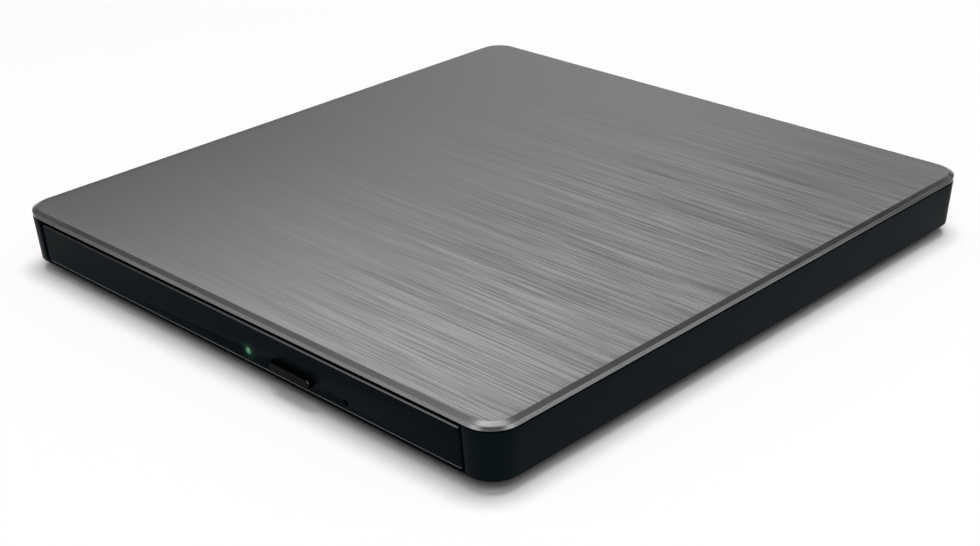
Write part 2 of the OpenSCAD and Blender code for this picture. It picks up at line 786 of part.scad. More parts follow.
// Sheet frame that carries the spindle, the rods and the sled's motor
module traverse_frame() {
  color("slategray") at_sled() difference() {
    union() {
      translate([0, 0, frame_z0]) linear_extrude(frame_t)
        polygon([[-13, -lead_v - 3.5], [sled_u1 - 12, -lead_v - 3.5], [sled_u1 - 5.2, -lead_v - 1.4],
          [sled_u1, -sled_corner], [sled_u1, sled_corner], [sled_u1 - 4, rod_v + 4], [-13, rod_v + 4]]);
      for (p = damper_points) {
        pillar(p[0], p[1], 2.6, frame_z0, frame_z1);
        inner = sign(p[1]) * 14;
        block(p[0] - 2.6, p[0] + 2.6, min(p[1], inner), max(p[1], inner), frame_z0, frame_z1);
      }
      for (v = [-rod_v, rod_v]) {
        rod_holder(rod_u0 - 0.4, window_u0 - 0.2, v);
        rod_holder(window_u1 + 0.3, rod_u1 + 0.4, v);
      }
      block(bearing_u0, bearing_u1, -lead_v - 1.2, -lead_v + 1.2, frame_z0, lead_z + 0.75);
    }
    block(window_u0, window_u1, -window_v, window_v, frame_z0 - 1, frame_z1 + 0.01);
    bar_x(-rod_v, rod_z, main_rod_d / 2 + run_clear, rod_u0 - 2, rod_u1 + 2);
    bar_x(rod_v, rod_z, sub_rod_d / 2 + run_clear, rod_u0 - 2, rod_u1 + 2);
    bar_x(-lead_v, lead_z, journal_r + run_clear, bearing_u0 - 1, bearing_u1 + 1);
    pillar(0, 0, shaft_d / 2 + 1.8, frame_z0 - 1, frame_z1 + 1);
    for (p = damper_points) pillar(p[0], p[1], traverse_screw_r + 0.2, frame_z0 - 1, frame_z1 + 1);
  }
}

// Rubber rings between the frame and the tray
module traverse_dampers() {
  color("dimgray") at_dampers() difference() {
    pillar(0, 0, damper_r, frame_z1, z_under);
    pillar(0, 0, traverse_screw_r + fit_clear, frame_z1 - 1, z_under + 1);
  }
}

// Screws that hold the frame and its rubber rings to the tray
module traverse_screws() {
  color("gray") at_dampers() {
    pillar(0, 0, traverse_screw_r + 0.9, frame_z0 - 0.45, frame_z0);
    pillar(0, 0, traverse_screw_r, frame_z0, z_under + 0.55);
  }
}

// Thin plate around the turntable with the slot that the lens runs in
module traverse_cover() {
  color("gray") difference() {
    intersection() {
      pillar(0, spindle_y, plate_r, z_seat, z_deck);
      at_sled() block(-19, plate_r + 1, -lead_v - 7, window_v + 4.1, z_seat, z_deck);
    }
    pillar(0, spindle_y, turntable_r + 0.7, z_seat - 1, z_deck + 1);
    at_sled() block(slot_u0, plate_r + 2, -slot_v, slot_v, z_seat - 1, z_deck + 1);
  }
}

// Fixed part of the spindle motor with its bearing
module spindle_motor() {
  color("silver") translate([0, spindle_y, 0]) difference() {
    union() {
      pillar(0, 0, motor_base_r, frame_z1, frame_z1 + 0.4);
      pillar(0, 0, shaft_d / 2 + 1.6, frame_z0 - 0.2, z_seat + 0.1);
      difference() {
        pillar(0, 0, stator_r, frame_z1, z_seat);
        for (turn = [0:40:320]) rotate([0, 0, turn])
          block(4.5, stator_r + 1, -0.5, 0.5, frame_z1 + 0.4, z_seat + 1);
      }
    }
    pillar(0, 0, shaft_d / 2 + run_clear, frame_z0 - 1, z_seat + 1);
  }
}

// Radial slots and claws sit at three even turns around the hub
module at_claw(index) {
  translate([0, spindle_y, 0]) rotate([0, 0, 90 + 120 * index]) children();
}

// Spinning table: shaft, rotor cup, flange and centring hub
module turntable() {
  color("gray") difference() {
    translate([0, spindle_y, 0]) {
      pillar(0, 0, shaft_d / 2, frame_z0, z_turntable);
      difference() {
        pillar(0, 0, cup_r, frame_z1 + 0.7, z_turntable);
        pillar(0, 0, cup_in, frame_z1, z_turntable - turntable_t);
      }
      pillar(0, 0, turntable_r, z_turntable - turntable_t, z_turntable);
      pillar(0, 0, hub_r, z_turntable, hub_top - 0.6);
      translate([0, 0, hub_top - 0.6]) cylinder(r1 = hub_r, r2 = hub_r - 1, h = 0.6);
    }
    for (index = [0, 1, 2]) at_claw(index)
      block(claw_in - claw_stroke - 0.2, hub_r + 1, -claw_w / 2 - fit_clear, claw_w / 2 + fit_clear,
        claw_z0 - 0.05, hub_top + 1);
    pillar(0, spindle_y, 2.2, hub_top - 0.5, hub_top + 1);
  }
}

// Rubber ring that grips the disc
module turntable_pad() {
  color("dimgray") translate([0, spindle_y, 0]) difference() {
    pillar(0, 0, turntable_r - 0.2, z_turntable, z_disc);
    pillar(0, 0, turntable_r - 3, z_turntable - 1, z_disc + 1);
  }
}

// Sprung claw with a sloping nose that holds the disc down
module chuck_claw(index) {
  at_claw(index) translate([0, claw_w / 2, 0]) rotate([90, 0, 0]) linear_extrude(claw_w)
    polygon([[claw_in, claw_z0], [hub_r - 0.2, claw_z0], [hub_r + 0.35, claw_z0 + 0.4],
      [hub_r - 0.6, claw_z1], [claw_in, claw_z1]]);
}

// Claw at the back of the hub
module chuck_claw_1() {
  color("darkgray") chuck_claw(0);
}

// Claw at the front left of the hub
module chuck_claw_2() {
  color("darkgray") chuck_claw(1);
}

// Claw at the front right of the hub
module chuck_claw_3() {
  color("darkgray") chuck_claw(2);
}

// Thick guide rod that sets the pickup's line
module guide_rod_main() {
  color("silver") at_sled() bar_x(-rod_v, rod_z, main_rod_d / 2, rod_u0, rod_u1);
}

// Thin guide rod that keeps the pickup level
module guide_rod_sub() {
  color("silver") at_sled() bar_x(rod_v, rod_z, sub_rod_d / 2, rod_u0, rod_u1);
}

// Flat stepping motor on the frame
module sled_motor() {
  color("darkgray") at_sled() difference() {
    block(motor_u0, motor_u1, -motor_v1, -motor_v0, frame_z1, z_seat - 0.1);
    bar_x(-lead_v, lead_z, journal_r + run_clear, motor_u1 - 4, motor_u1 + 1);
  }
}

// Lead screw: a thread with two plain journals
module lead_screw() {
  eccentric = 0.1;
  turns = (lead_u1 - lead_u0) / lead_pitch;
  color("silver") at_sled() {
    bar_x(-lead_v, lead_z, journal_r, motor_u1 - 3.5, bearing_u1 + 0.3);
    translate([lead_u0, -lead_v, lead_z]) rotate([0, 90, 0])
      linear_extrude(lead_u1 - lead_u0, twist = 360 * turns, slices = round(8 * turns), $fn = 10)
        translate([eccentric, 0]) circle(r = screw_d / 2 - eccentric);
  }
}

// Cast carriage that rides on both rods
module pickup_body() {
  color("darkgray") at_sled() translate([lens_rest, 0, 0]) difference() {
    union() {
      block(-carriage_half, carriage_half, -carriage_v, carriage_v, carriage_z0, carriage_z1);
      for (u = [-carriage_half, carriage_half - 3])
        block(u, u + 3, -bushing_v, -carriage_v, carriage_z0, holder_top + 0.1);
      block(-2, 2, carriage_v, rod_v + 1.6, carriage_z0, holder_top + 0.1);
    }
    bar_x(-rod_v, rod_z, main_rod_d / 2 + run_clear, -carriage_half - 1, carriage_half + 1);
    bar_x(rod_v, rod_z, sub_rod_d / 2 + run_clear, -3, 3);
    block(-3, 3, rod_v, rod_v + 4, rod_z - sub_rod_d / 2 - run_clear, rod_z + sub_rod_d / 2 + run_clear);
    block(-holder_u - 1, holder_u + 1, -holder_v - 1, holder_v + 1, holder_z0 - focus_room,
      carriage_z1 + 1);
  }
}

// Thin cover on the carriage with a window for the lens
module pickup_cover() {
  color("dimgray") at_sled() translate([lens_rest, 0, 0]) difference() {
    block(-carriage_half + 0.3, carriage_half - 0.3, -carriage_v + 0.3, carriage_v - 0.3,
      carriage_z1, carriage_z1 + 0.2);
    block(-holder_u - 0.5, holder_u + 0.5, -holder_v - 0.5, holder_v + 0.5,
      carriage_z1 - 1, carriage_z1 + 1);
  }
}

// Toothed follower that the lead screw drives
module rack_nut() {
  tip = lead_v - screw_d / 2 - 0.25;
  color("ivory") at_sled() translate([lens_rest, 0, 0]) {
    block(-carriage_half, carriage_half, -bushing_v - 0.8, -bushing_v, frame_z1 + 0.2, carriage_z1);
    for (u = [-1.5, 1.5])
      block(u - 0.5, u + 0.5, -tip, -bushing_v - 0.8, frame_z1 + 0.3, carriage_z1 - 0.1);
  }
}

// Moving frame of the lens, focused by its coils
module lens_holder() {
  color("black") at_sled() translate([lens_rest, 0, 0]) difference() {
    block(-holder_u, holder_u, -holder_v, holder_v, holder_z0, holder_z1);
    pillar(0, 0, lens_d / 2 + run_clear, lens_seat, holder_z1 + 1);
    pillar(0, 0, lens_d / 2 - 0.5, holder_z0 - 1, holder_z1 + 1);
  }
}

// Domed lens
module objective_lens() {
  dome_h = 0.35;
  dome_r = (lens_d * lens_d / 4 + dome_h * dome_h) / (2 * dome_h);
  color("lightblue") at_sled() translate([lens_rest, 0, 0]) {
    pillar(0, 0, lens_d / 2, lens_seat, holder_z1);
    intersection() {
      pillar(0, 0, lens_d / 2, holder_z1, holder_z1 + 1);
      translate([0, 0, holder_z1 + dome_h - dome_r]) sphere(r = dome_r);
    }
  }
}

// Coil in a steel yoke that frees the latch
module solenoid() {
  color("darkgoldenrod") difference() {
    block(tail_x - 4.5, tail_x + 4.5, solenoid_y0, solenoid_y1, z_tray + 0.1, z_under);
    bar_y(tail_x, plunger_z, plunger_r + fit_clear, solenoid_y0 - 1, plunger_end + 0.6);
  }
}

// Plunger with a fork around the lever's tail
module solenoid_plunger() {
  color("silver") {
    bar_y(tail_x, plunger_z, plunger_r, tail_y + prong_gap, plunger_end);
    block(tail_x - 1.3, tail_x + 1.3, tail_y - prong_gap - prong_t, tail_y + prong_gap + prong_t,
      lever_z1 + 0.15, lever_z1 + 0.5);
    for (y0 = [tail_y - prong_gap - prong_t, tail_y + prong_gap])
      block(tail_x - 1.3, tail_x + 1.3, y0, y0 + prong_t, lever_z0, lever_z1 + 0.5);
  }
}

// Outline of a flat arm from the lever's pivot to a point
module arm_outline(x, y, w) {
  span = sqrt((x - pivot_x) * (x - pivot_x) + (y - pivot_y) * (y - pivot_y));
  translate([pivot_x, pivot_y]) rotate(atan2(y - pivot_y, x - pivot_x))
    translate([0, -w / 2]) square([span, w]);
}

// Latch lever, shown in its freed position
module latch_lever() {
  color("ivory") translate([0, 0, lever_z0]) linear_extrude(lever_z1 - lever_z0) difference() {
    union() {
      translate([pivot_x, pivot_y]) circle(r = 2.2);
      arm_outline(hook_x, hook_y, 1.2);
      translate([hook_x, hook_y]) circle(r = 0.75);
      arm_outline(tail_x, tail_y, 1.4);
      translate([tail_x, tail_y]) circle(r = tail_r);
    }
    translate([pivot_x, pivot_y]) circle(r = pivot_r + run_clear);
  }
}

// Slider behind the emergency hole
module emergency_slider() {
  color("ivory")
    block(hole_x - slider_w / 2, hole_x + slider_w / 2, front_wall_y + 0.3, slider_y1,
      z_tray + 0.5, z_under - 0.15);
}

// Rod that pushes the tray open
module eject_pusher() {
  color("ivory") {
    bar_y(pusher_x, pusher_z, pusher_r, pusher_y0, pusher_y1);
    bar_y(pusher_x, pusher_z, spring_r, pusher_y0 + 4.3, pusher_y0 + 5.3);
  }
}

// Compressed spring around the rod, drawn as a sleeve
module eject_spring() {
  color("silver") difference() {
    bar_y(pusher_x, pusher_z, spring_r, pusher_y0 + 5.3, tray_in_y1);
    bar_y(pusher_x, pusher_z, pusher_r + fit_clear / 2, pusher_y0, tray_y1);
  }
}

// Small board under the tray's deck where the flat cable ends
module tray_board() {
  color("darkgreen")
    block(ribbon_x0 - 10, ribbon_x1 + 5, tray_in_y1 - 14, tray_in_y1 - 0.3, tray_board_z0, z_under);
}

// Clamp on that board for the flat cable
module tray_connector() {
  color("ivory")
    block(ribbon_x0 - 1, ribbon_x1 + 1, ribbon_end - 2.2, ribbon_end + 1.4, z_tray + 0.1, tray_board_z0);
}

top_plate();
cover_frame();
bottom_case();
rubber_feet();
case_screws();
drive_chassis();
chassis_cover();
cover_screws();
rail_guide_left();
rail_guide_right();
latch_post();
main_board();
controller_chips();
board_capacitors();
usb_socket_shell();
usb_socket_tongue();
ribbon_connector();
ribbon_cable();
rail_left();
rail_right();
disc_tray();
front_bezel();
eject_button();
led_light_pipe();
front_board();
eject_switch();
led_chip();
bottom_shield();
shield_screws();
traverse_frame();
traverse_dampers();
traverse_screws();
traverse_cover();
spindle_motor();
turntable();
turntable_pad();
chuck_claw_1();
chuck_claw_2();
chuck_claw_3();
guide_rod_main();
guide_rod_sub();
sled_motor();
lead_screw();
pickup_body();
pickup_cover();
rack_nut();
lens_holder();
objective_lens();
solenoid();
solenoid_plunger();
latch_lever();
emergency_slider();
eject_pusher();
eject_spring();
tray_board();
tray_connector();
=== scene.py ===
"""External slim disc drive: looks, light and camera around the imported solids. In mm unless said."""
import json
import math

import bmesh
import bpy
from mathutils import Matrix, Vector

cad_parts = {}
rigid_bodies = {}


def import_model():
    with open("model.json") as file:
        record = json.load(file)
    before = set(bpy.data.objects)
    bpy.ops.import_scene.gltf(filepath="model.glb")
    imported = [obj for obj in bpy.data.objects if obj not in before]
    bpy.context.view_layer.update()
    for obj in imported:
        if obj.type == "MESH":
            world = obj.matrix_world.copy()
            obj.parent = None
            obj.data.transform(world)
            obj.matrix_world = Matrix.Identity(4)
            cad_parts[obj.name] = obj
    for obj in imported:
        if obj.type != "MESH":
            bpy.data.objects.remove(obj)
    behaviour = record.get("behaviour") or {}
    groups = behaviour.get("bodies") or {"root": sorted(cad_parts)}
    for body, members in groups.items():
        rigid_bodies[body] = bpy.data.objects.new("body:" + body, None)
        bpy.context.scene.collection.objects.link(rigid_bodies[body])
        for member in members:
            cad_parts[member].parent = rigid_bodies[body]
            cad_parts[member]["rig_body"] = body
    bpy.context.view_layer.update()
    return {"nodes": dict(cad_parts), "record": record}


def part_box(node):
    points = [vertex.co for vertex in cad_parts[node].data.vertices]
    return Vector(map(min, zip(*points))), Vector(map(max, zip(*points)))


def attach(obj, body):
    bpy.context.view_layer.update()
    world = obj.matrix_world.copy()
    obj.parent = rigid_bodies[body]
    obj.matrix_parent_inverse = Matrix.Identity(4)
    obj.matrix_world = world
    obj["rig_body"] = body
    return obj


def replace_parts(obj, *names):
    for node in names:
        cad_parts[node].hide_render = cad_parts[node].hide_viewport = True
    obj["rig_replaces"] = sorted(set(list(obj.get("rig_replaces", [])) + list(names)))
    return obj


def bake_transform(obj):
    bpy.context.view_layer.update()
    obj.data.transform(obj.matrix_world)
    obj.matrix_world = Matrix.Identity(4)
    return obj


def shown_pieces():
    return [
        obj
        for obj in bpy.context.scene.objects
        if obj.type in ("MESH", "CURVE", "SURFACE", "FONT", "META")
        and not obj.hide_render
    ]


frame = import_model()

MM = 0.001
scene = bpy.context.scene


# Sizes, read from the solids where they can be
def box_mm(node):
    low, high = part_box(node)
    return low / MM, high / MM


plate_low, plate_high = box_mm("top_plate")
tub_low, tub_high = box_mm("bottom_case")
bezel_low, bezel_high = box_mm("front_bezel")
button_low, button_high = box_mm("eject_button")
pipe_low, pipe_high = box_mm("led_light_pipe")
foot_high = box_mm("rubber_feet")[1]
drive_low, drive_high = box_mm("chassis_cover")
socket_low, socket_high = box_mm("usb_socket_shell")
ribbon_low, ribbon_high = box_mm("ribbon_cable")

HALF_W, HALF_D, TOP = plate_high.x, plate_high.y, plate_high.z
CORNER_R = 6.1
RIM_T, PLATE_T, PLATE_FLAT = 0.8, 0.6, 3.2
BEVEL_W, BEVEL_H = 1.1, 0.5
WALL_IN, WALL_LOW = 0.0, 0.7
Z_BASE, Z_FLOOR, Z_WALL = tub_low.z, tub_low.z + 1.2, tub_low.z + 1.7
Z_LIP, Z_SILL = bezel_low.z - 0.2, bezel_low.z + 0.1
Z_SEAM = tub_high.z
LEAN = (WALL_LOW - WALL_IN) / (Z_SEAM - Z_WALL)
MOUTH_HW = bezel_high.x + 0.6
MOUTH_LEFT = -MOUTH_HW - 0.5
FOOT_R = 4.5
FOOT_X, FOOT_Y = foot_high.x - FOOT_R, foot_high.y - FOOT_R
SCREW_X, SCREW_Y, POCKET_R, POST_R = MOUTH_HW + 2.8, HALF_D - 5.2, 2.0, 1.9
WALL_T, PLAY = 2.0, 0.3
LABEL_W, LABEL_FRONT, LABEL_REAR = 34, -20, 22
BUTTON_W, BUTTON_H, BUTTON_GAP = 11.7, 2.0, 0.12
BUTTON_X, BUTTON_Z = (button_low.x + button_high.x) / 2, bezel_low.z + 2.55
LED_X, LED_Z, LED_R = (pipe_low.x + pipe_high.x) / 2, (pipe_low.z + pipe_high.z) / 2, 0.7
HOLE_X, HOLE_Z, HOLE_R = 32.5, 5.1, 0.65


# Camera at the photograph's angle: a pinhole solved for the 980 x 546 frame
IMAGE_W, IMAGE_H = 980, 546
FOCAL_PX = 1684.2
AXIS_PX = (492.0, 272.2)
YAW, PITCH, ROLL = -0.7814, 0.4475, 0.0274
DISTANCE = 360.5
AIM_PX = (5.5, -24.7)


def make_camera():
    forward = Vector((math.sin(YAW) * math.cos(PITCH), math.cos(YAW) * math.cos(PITCH), -math.sin(PITCH)))
    level = Vector((math.cos(YAW), -math.sin(YAW), 0))
    down = forward.cross(level)
    right = math.cos(ROLL) * level + math.sin(ROLL) * down
    down = math.cos(ROLL) * down - math.sin(ROLL) * level
    aside = DISTANCE / FOCAL_PX
    place = -(right * AIM_PX[0] * aside + down * AIM_PX[1] * aside + forward * DISTANCE)
    data = bpy.data.cameras.new("camera")
    camera = bpy.data.objects.new("camera", data)
    scene.collection.objects.link(camera)
    axes = Matrix((right, -down, -forward)).transposed()
    camera.matrix_world = Matrix.Translation(place * MM) @ axes.to_4x4()
    data.sensor_width = 36
    data.lens = FOCAL_PX / IMAGE_W * data.sensor_width
    data.shift_x = (IMAGE_W / 2 - AXIS_PX[0]) / IMAGE_W
    data.shift_y = (AXIS_PX[1] - IMAGE_H / 2) / IMAGE_W
    data.clip_start, data.clip_end = 0.01, 50
    scene.camera = camera


make_camera()


# Node materials
def greys(*stops):
    """Stops of (place, level) as stops of (place, colour)."""
    return [(where, (level, level, level)) for where, level in stops]


def set_stops(ramp, stops):
    """Fills a colour ramp from stops of (place, colour)."""
    while len(ramp.elements) < len(stops):
        ramp.elements.new(0.5)
    for element, (where, colour) in zip(ramp.elements, stops):
        element.position = where
        element.color = (*colour, 1)


class Paint:
    """A node material built up in steps, in the object's own coordinates."""

    def __init__(self, name, base, rough, metal=0.0, specular=0.5):
        self.material = bpy.data.materials.new(name)
        self.material.use_nodes = True
        self.tree = self.material.node_tree
        self.tree.nodes.clear()
        self.shader = self.add("ShaderNodeBsdfPrincipled")
        output = self.add("ShaderNodeOutputMaterial")
        self.link(self.shader.outputs["BSDF"], output.inputs["Surface"])
        self.shader.inputs["Base Color"].default_value = (*base, 1)
        self.shader.inputs["Roughness"].default_value = rough
        self.shader.inputs["Metallic"].default_value = metal
        self.shader.inputs["Specular IOR Level"].default_value = specular
        self.place = self.add("ShaderNodeTexCoord").outputs["Object"]
        self.bump_from = None

    def add(self, kind, **values):
        node = self.tree.nodes.new(kind)
        for key, value in values.items():
            setattr(node, key, value)
        return node

    def link(self, source, target):
        self.tree.links.new(source, target)

    def axes(self, vector=None):
        """X, Y and Z of a vector, or else of the place."""
        split = self.add("ShaderNodeSeparateXYZ")
        self.link(self.place if vector is None else vector, split.inputs["Vector"])
        return split.outputs

    def noise(self, scale, stretch=(1, 1, 1), detail=3.0, rough=0.55):
        """Noise with about scale features a metre, drawn out along an axis where stretch is small."""
        mapping = self.add("ShaderNodeMapping")
        mapping.inputs["Scale"].default_value = stretch
        self.link(self.place, mapping.inputs["Vector"])
        node = self.add("ShaderNodeTexNoise")
        node.inputs["Scale"].default_value = scale
        node.inputs["Detail"].default_value = detail
        node.inputs["Roughness"].default_value = rough
        self.link(mapping.outputs["Vector"], node.inputs["Vector"])
        return node.outputs["Fac"]

    def math(self, kind, a, b, c=None):
        node = self.add("ShaderNodeMath", operation=kind)
        for socket, value in zip(node.inputs, (a, b, c)):
            if value is None:
                continue
            if isinstance(value, (int, float)):
                socket.default_value = value
            else:
                self.link(value, socket)
        return node.outputs[0]

    def spread(self, value, low, high, start=0.3, end=0.7):
        """A 0 to 1 value drawn out between two numbers."""
        node = self.add("ShaderNodeMapRange")
        for key, number in (("From Min", start), ("From Max", end), ("To Min", low), ("To Max", high)):
            node.inputs[key].default_value = number
        self.link(value, node.inputs["Value"])
        return node.outputs["Result"]

    def ramp(self, value, stops):
        node = self.add("ShaderNodeValToRGB")
        set_stops(node.color_ramp, stops)
        self.link(value, node.inputs["Fac"])
        return node.outputs["Color"]

    def colour(self, value, dark, light, start=0.3, end=0.7):
        self.link(self.ramp(value, ((start, dark), (end, light))), self.shader.inputs["Base Color"])

    def rough(self, value, low, high, start=0.3, end=0.7):
        self.link(self.spread(value, low, high, start, end), self.shader.inputs["Roughness"])

    def bump(self, value, depth):
        """Relief of a real depth in millimetres."""
        node = self.add("ShaderNodeBump")
        node.inputs["Strength"].default_value = 1.0
        node.inputs["Distance"].default_value = depth * MM
        self.link(value, node.inputs["Height"])
        if self.bump_from is not None:
            self.link(self.bump_from, node.inputs["Normal"])
        self.bump_from = node.outputs["Normal"]
        self.link(self.bump_from, self.shader.inputs["Normal"])

    def socket(self, name, value):
        self.shader.inputs[name].default_value = value


# Painted reflection on the upright rim: grey levels along its diagonal, and round an upright corner with
# bright bands beside a dark middle
RIM_PAINTED_REFLECTION = greys(
    (0.05, 0.14), (0.14, 0.18), (0.2, 0.27), (0.3, 0.42), (0.37, 0.57), (0.45, 0.55), (0.62, 0.67),
    (0.86, 0.76))
RIM_SPAN = 140
CORNER_PAINTED_REFLECTION = greys(
    (0.2, 1.0), (0.4, 1.2), (0.62, 1.9), (0.78, 1.6), (0.88, 0.75), (0.95, 0.45), (1.0, 0.4))
# Painted shade: share of its colour that the slope of the plate loses round the left and the rear right
# corner
CORNER_PAINTED_SHADE = 0.86
# Painted shade: share of its colour that the upper part of the rim loses from the front to the rear
RIM_SHADE_SHARE, RIM_SHADE_FRONT, RIM_SHADE_REAR = 0.62, -30, 45
# How far the hairlines and the wider stripes reach to the left, and what is left of them at the rear
BRUSHED_HALF = 70
HAIR_REACH = greys(
    (0.2, 0.03), (0.39, 0.09), (0.5, 0.17), (0.607, 0.42), (0.714, 0.8), (0.82, 0.97), (0.93, 1.0))
STRIPE_REACH = greys((0.2, 0.06), (0.4, 0.22), (0.5, 0.36), (0.607, 0.58), (0.714, 0.85), (0.82, 1.0))
HAIR_REAR, STRIPE_REAR = 0.15, 0.3
FADE_START, FADE_END = 20, 65
HAIR_WEIGHT, LINE_WEIGHT, BAND_WEIGHT = 0.72, 0.2, 0.08
# Dull (below 0) and bright stripes along the grain: middle in Y, half width, depth
STRIPES = ((-27, 2.2, -0.03), (16, 2.4, -0.026), (32, 2.0, -0.014), (43.5, 3.0, -0.022), (36.5, 2.0, 0.03),
           (21.5, 1.8, 0.024), (12, 1.8, 0.02), (5, 3.0, 0.012), (-9, 3.0, 0.012))


def shade(colour, share):
    return tuple(min(1.0, channel * share) for channel in colour)


def plastic_paint(name, base, rough, grain=0.004, specular=0.3, scale=2600):
    """Moulded plastic: a fine matt grain, with slow changes of gloss."""
    paint = Paint(name, base, rough, 0.0, specular)
    cloud = paint.noise(35, detail=4)
    fine = paint.noise(scale, detail=2)
    paint.colour(cloud, shade(base, 0.9), shade(base, 1.1))
    gloss = paint.math("MULTIPLY_ADD", fine, 0.5, paint.math("MULTIPLY", cloud, 0.5))
    paint.rough(gloss, rough - 0.05, rough + 0.05)
    paint.bump(fine, grain)
    return paint


def plastic(*values):
    return plastic_paint(*values).material


def glossy_black(*values, fade=None):
    """Rounded edges of the panel, polished by the mould. A fade is a painted reflection: it tints the
    reflection darker towards the left.
    """
    paint = plastic_paint(*values)
    paint.socket("IOR", 1.9)
    # Painted reflection: the specular tint ramped along X
    if fade:
        across = paint.spread(paint.axes()["X"], 0, 1, bezel_low.x * MM, bezel_high.x * MM)
        paint.link(paint.ramp(across, fade), paint.shader.inputs["Specular Tint"])
    return paint.material


def wall_black(*values):
    """The case's plastic, with painted shade along the lower edge of the walls: its colour and its reflection
    are darker there.
    """
    paint = plastic_paint(*values)
    # Painted shade: colour and reflection fall off towards the lower edge of the walls
    share = paint.spread(paint.axes()["Z"], 0.1, 1.0, (Z_WALL - 0.1) * MM, (Z_WALL + 0.5) * MM)
    base = paint.shader.inputs["Base Color"]
    shaded = paint.add("ShaderNodeVectorMath", operation="SCALE")
    paint.link(base.links[0].from_socket, shaded.inputs[0])
    paint.link(share, shaded.inputs["Scale"])
    paint.link(shaded.outputs["Vector"], base)
    paint.link(share, paint.shader.inputs["Specular Tint"])
    return paint.material


def rubber(name, base):
    paint = Paint(name, base, 0.85, 0.0, 0.25)
    fine = paint.noise(1800, detail=3)
    paint.colour(paint.noise(90, detail=4), shade(base, 0.85), shade(base, 1.15))
    paint.rough(fine, 0.78, 0.92)
    paint.bump(fine, 0.012)
    return paint.material


def metal(name, base, rough, grain=0.0015, stretch=(1, 1, 1), scale=900):
    """Plain metal: rolled or drawn grain where stretch draws the noise out."""
    paint = Paint(name, base, rough, 1.0)
    fine = paint.noise(scale, stretch, detail=3)
    cloud = paint.noise(45, detail=4)
    mixed = paint.math("MULTIPLY_ADD", fine, 0.6, paint.math("MULTIPLY", cloud, 0.4))
    paint.colour(mixed, shade(base, 0.86), shade(base, 1.12))
    paint.rough(mixed, rough - 0.07, rough + 0.07)
    paint.bump(fine, grain)
    return paint.material


def brushed_top():
    """Hairlines along X in three widths, and dull and bright stripes, which fade to the left and the rear."""
    base = (0.334, 0.339, 0.332)
    paint = Paint("brushed_top", base, 0.26, 1.0)
    hair = paint.noise(2500, (0.014, 1, 1), detail=2, rough=0.7)
    line = paint.noise(900, (0.011, 1, 1), detail=2, rough=0.6)
    band = paint.noise(190, (0.04, 1, 1), detail=2, rough=0.55)
    at = paint.axes()
    across = paint.spread(at["X"], 0, 1, -BRUSHED_HALF * MM, BRUSHED_HALF * MM)
    hair_rear, stripe_rear = (
        paint.spread(at["Y"], 1.0, left, FADE_START * MM, FADE_END * MM) for left in (HAIR_REAR, STRIPE_REAR))
    hair_reach = paint.math("MULTIPLY", paint.ramp(across, HAIR_REACH), hair_rear)
    stripe_reach = paint.math("MULTIPLY", paint.ramp(across, STRIPE_REACH), stripe_rear)
    fine = paint.math("MULTIPLY", paint.math("SUBTRACT", hair, 0.5), HAIR_WEIGHT)
    bands = paint.math("MULTIPLY_ADD", band, BAND_WEIGHT, -(LINE_WEIGHT + BAND_WEIGHT) / 2)
    wide = paint.math("MULTIPLY_ADD", line, LINE_WEIGHT, bands)
    for middle, half, depth in STRIPES:
        away = paint.math("ABSOLUTE", paint.math("SUBTRACT", at["Y"], middle * MM), 0.0)
        wide = paint.math("ADD", wide, paint.spread(away, depth, 0.0, 0.0, half * MM))
    wide = paint.math("MULTIPLY_ADD", wide, stripe_reach, 0.5)
    level = paint.math("MULTIPLY_ADD", fine, hair_reach, wide)
    paint.colour(level, shade(base, 0.62), shade(base, 1.4), 0.437, 0.563)
    paint.rough(level, 0.18, 0.25, 0.4, 0.6)
    paint.bump(level, 0.004)
    paint.socket("Anisotropic", 0.4)
    tangent = paint.add("ShaderNodeTangent", direction_type="UV_MAP", uv_map="grain")
    paint.link(tangent.outputs["Tangent"], paint.shader.inputs["Tangent"])
    return paint.material


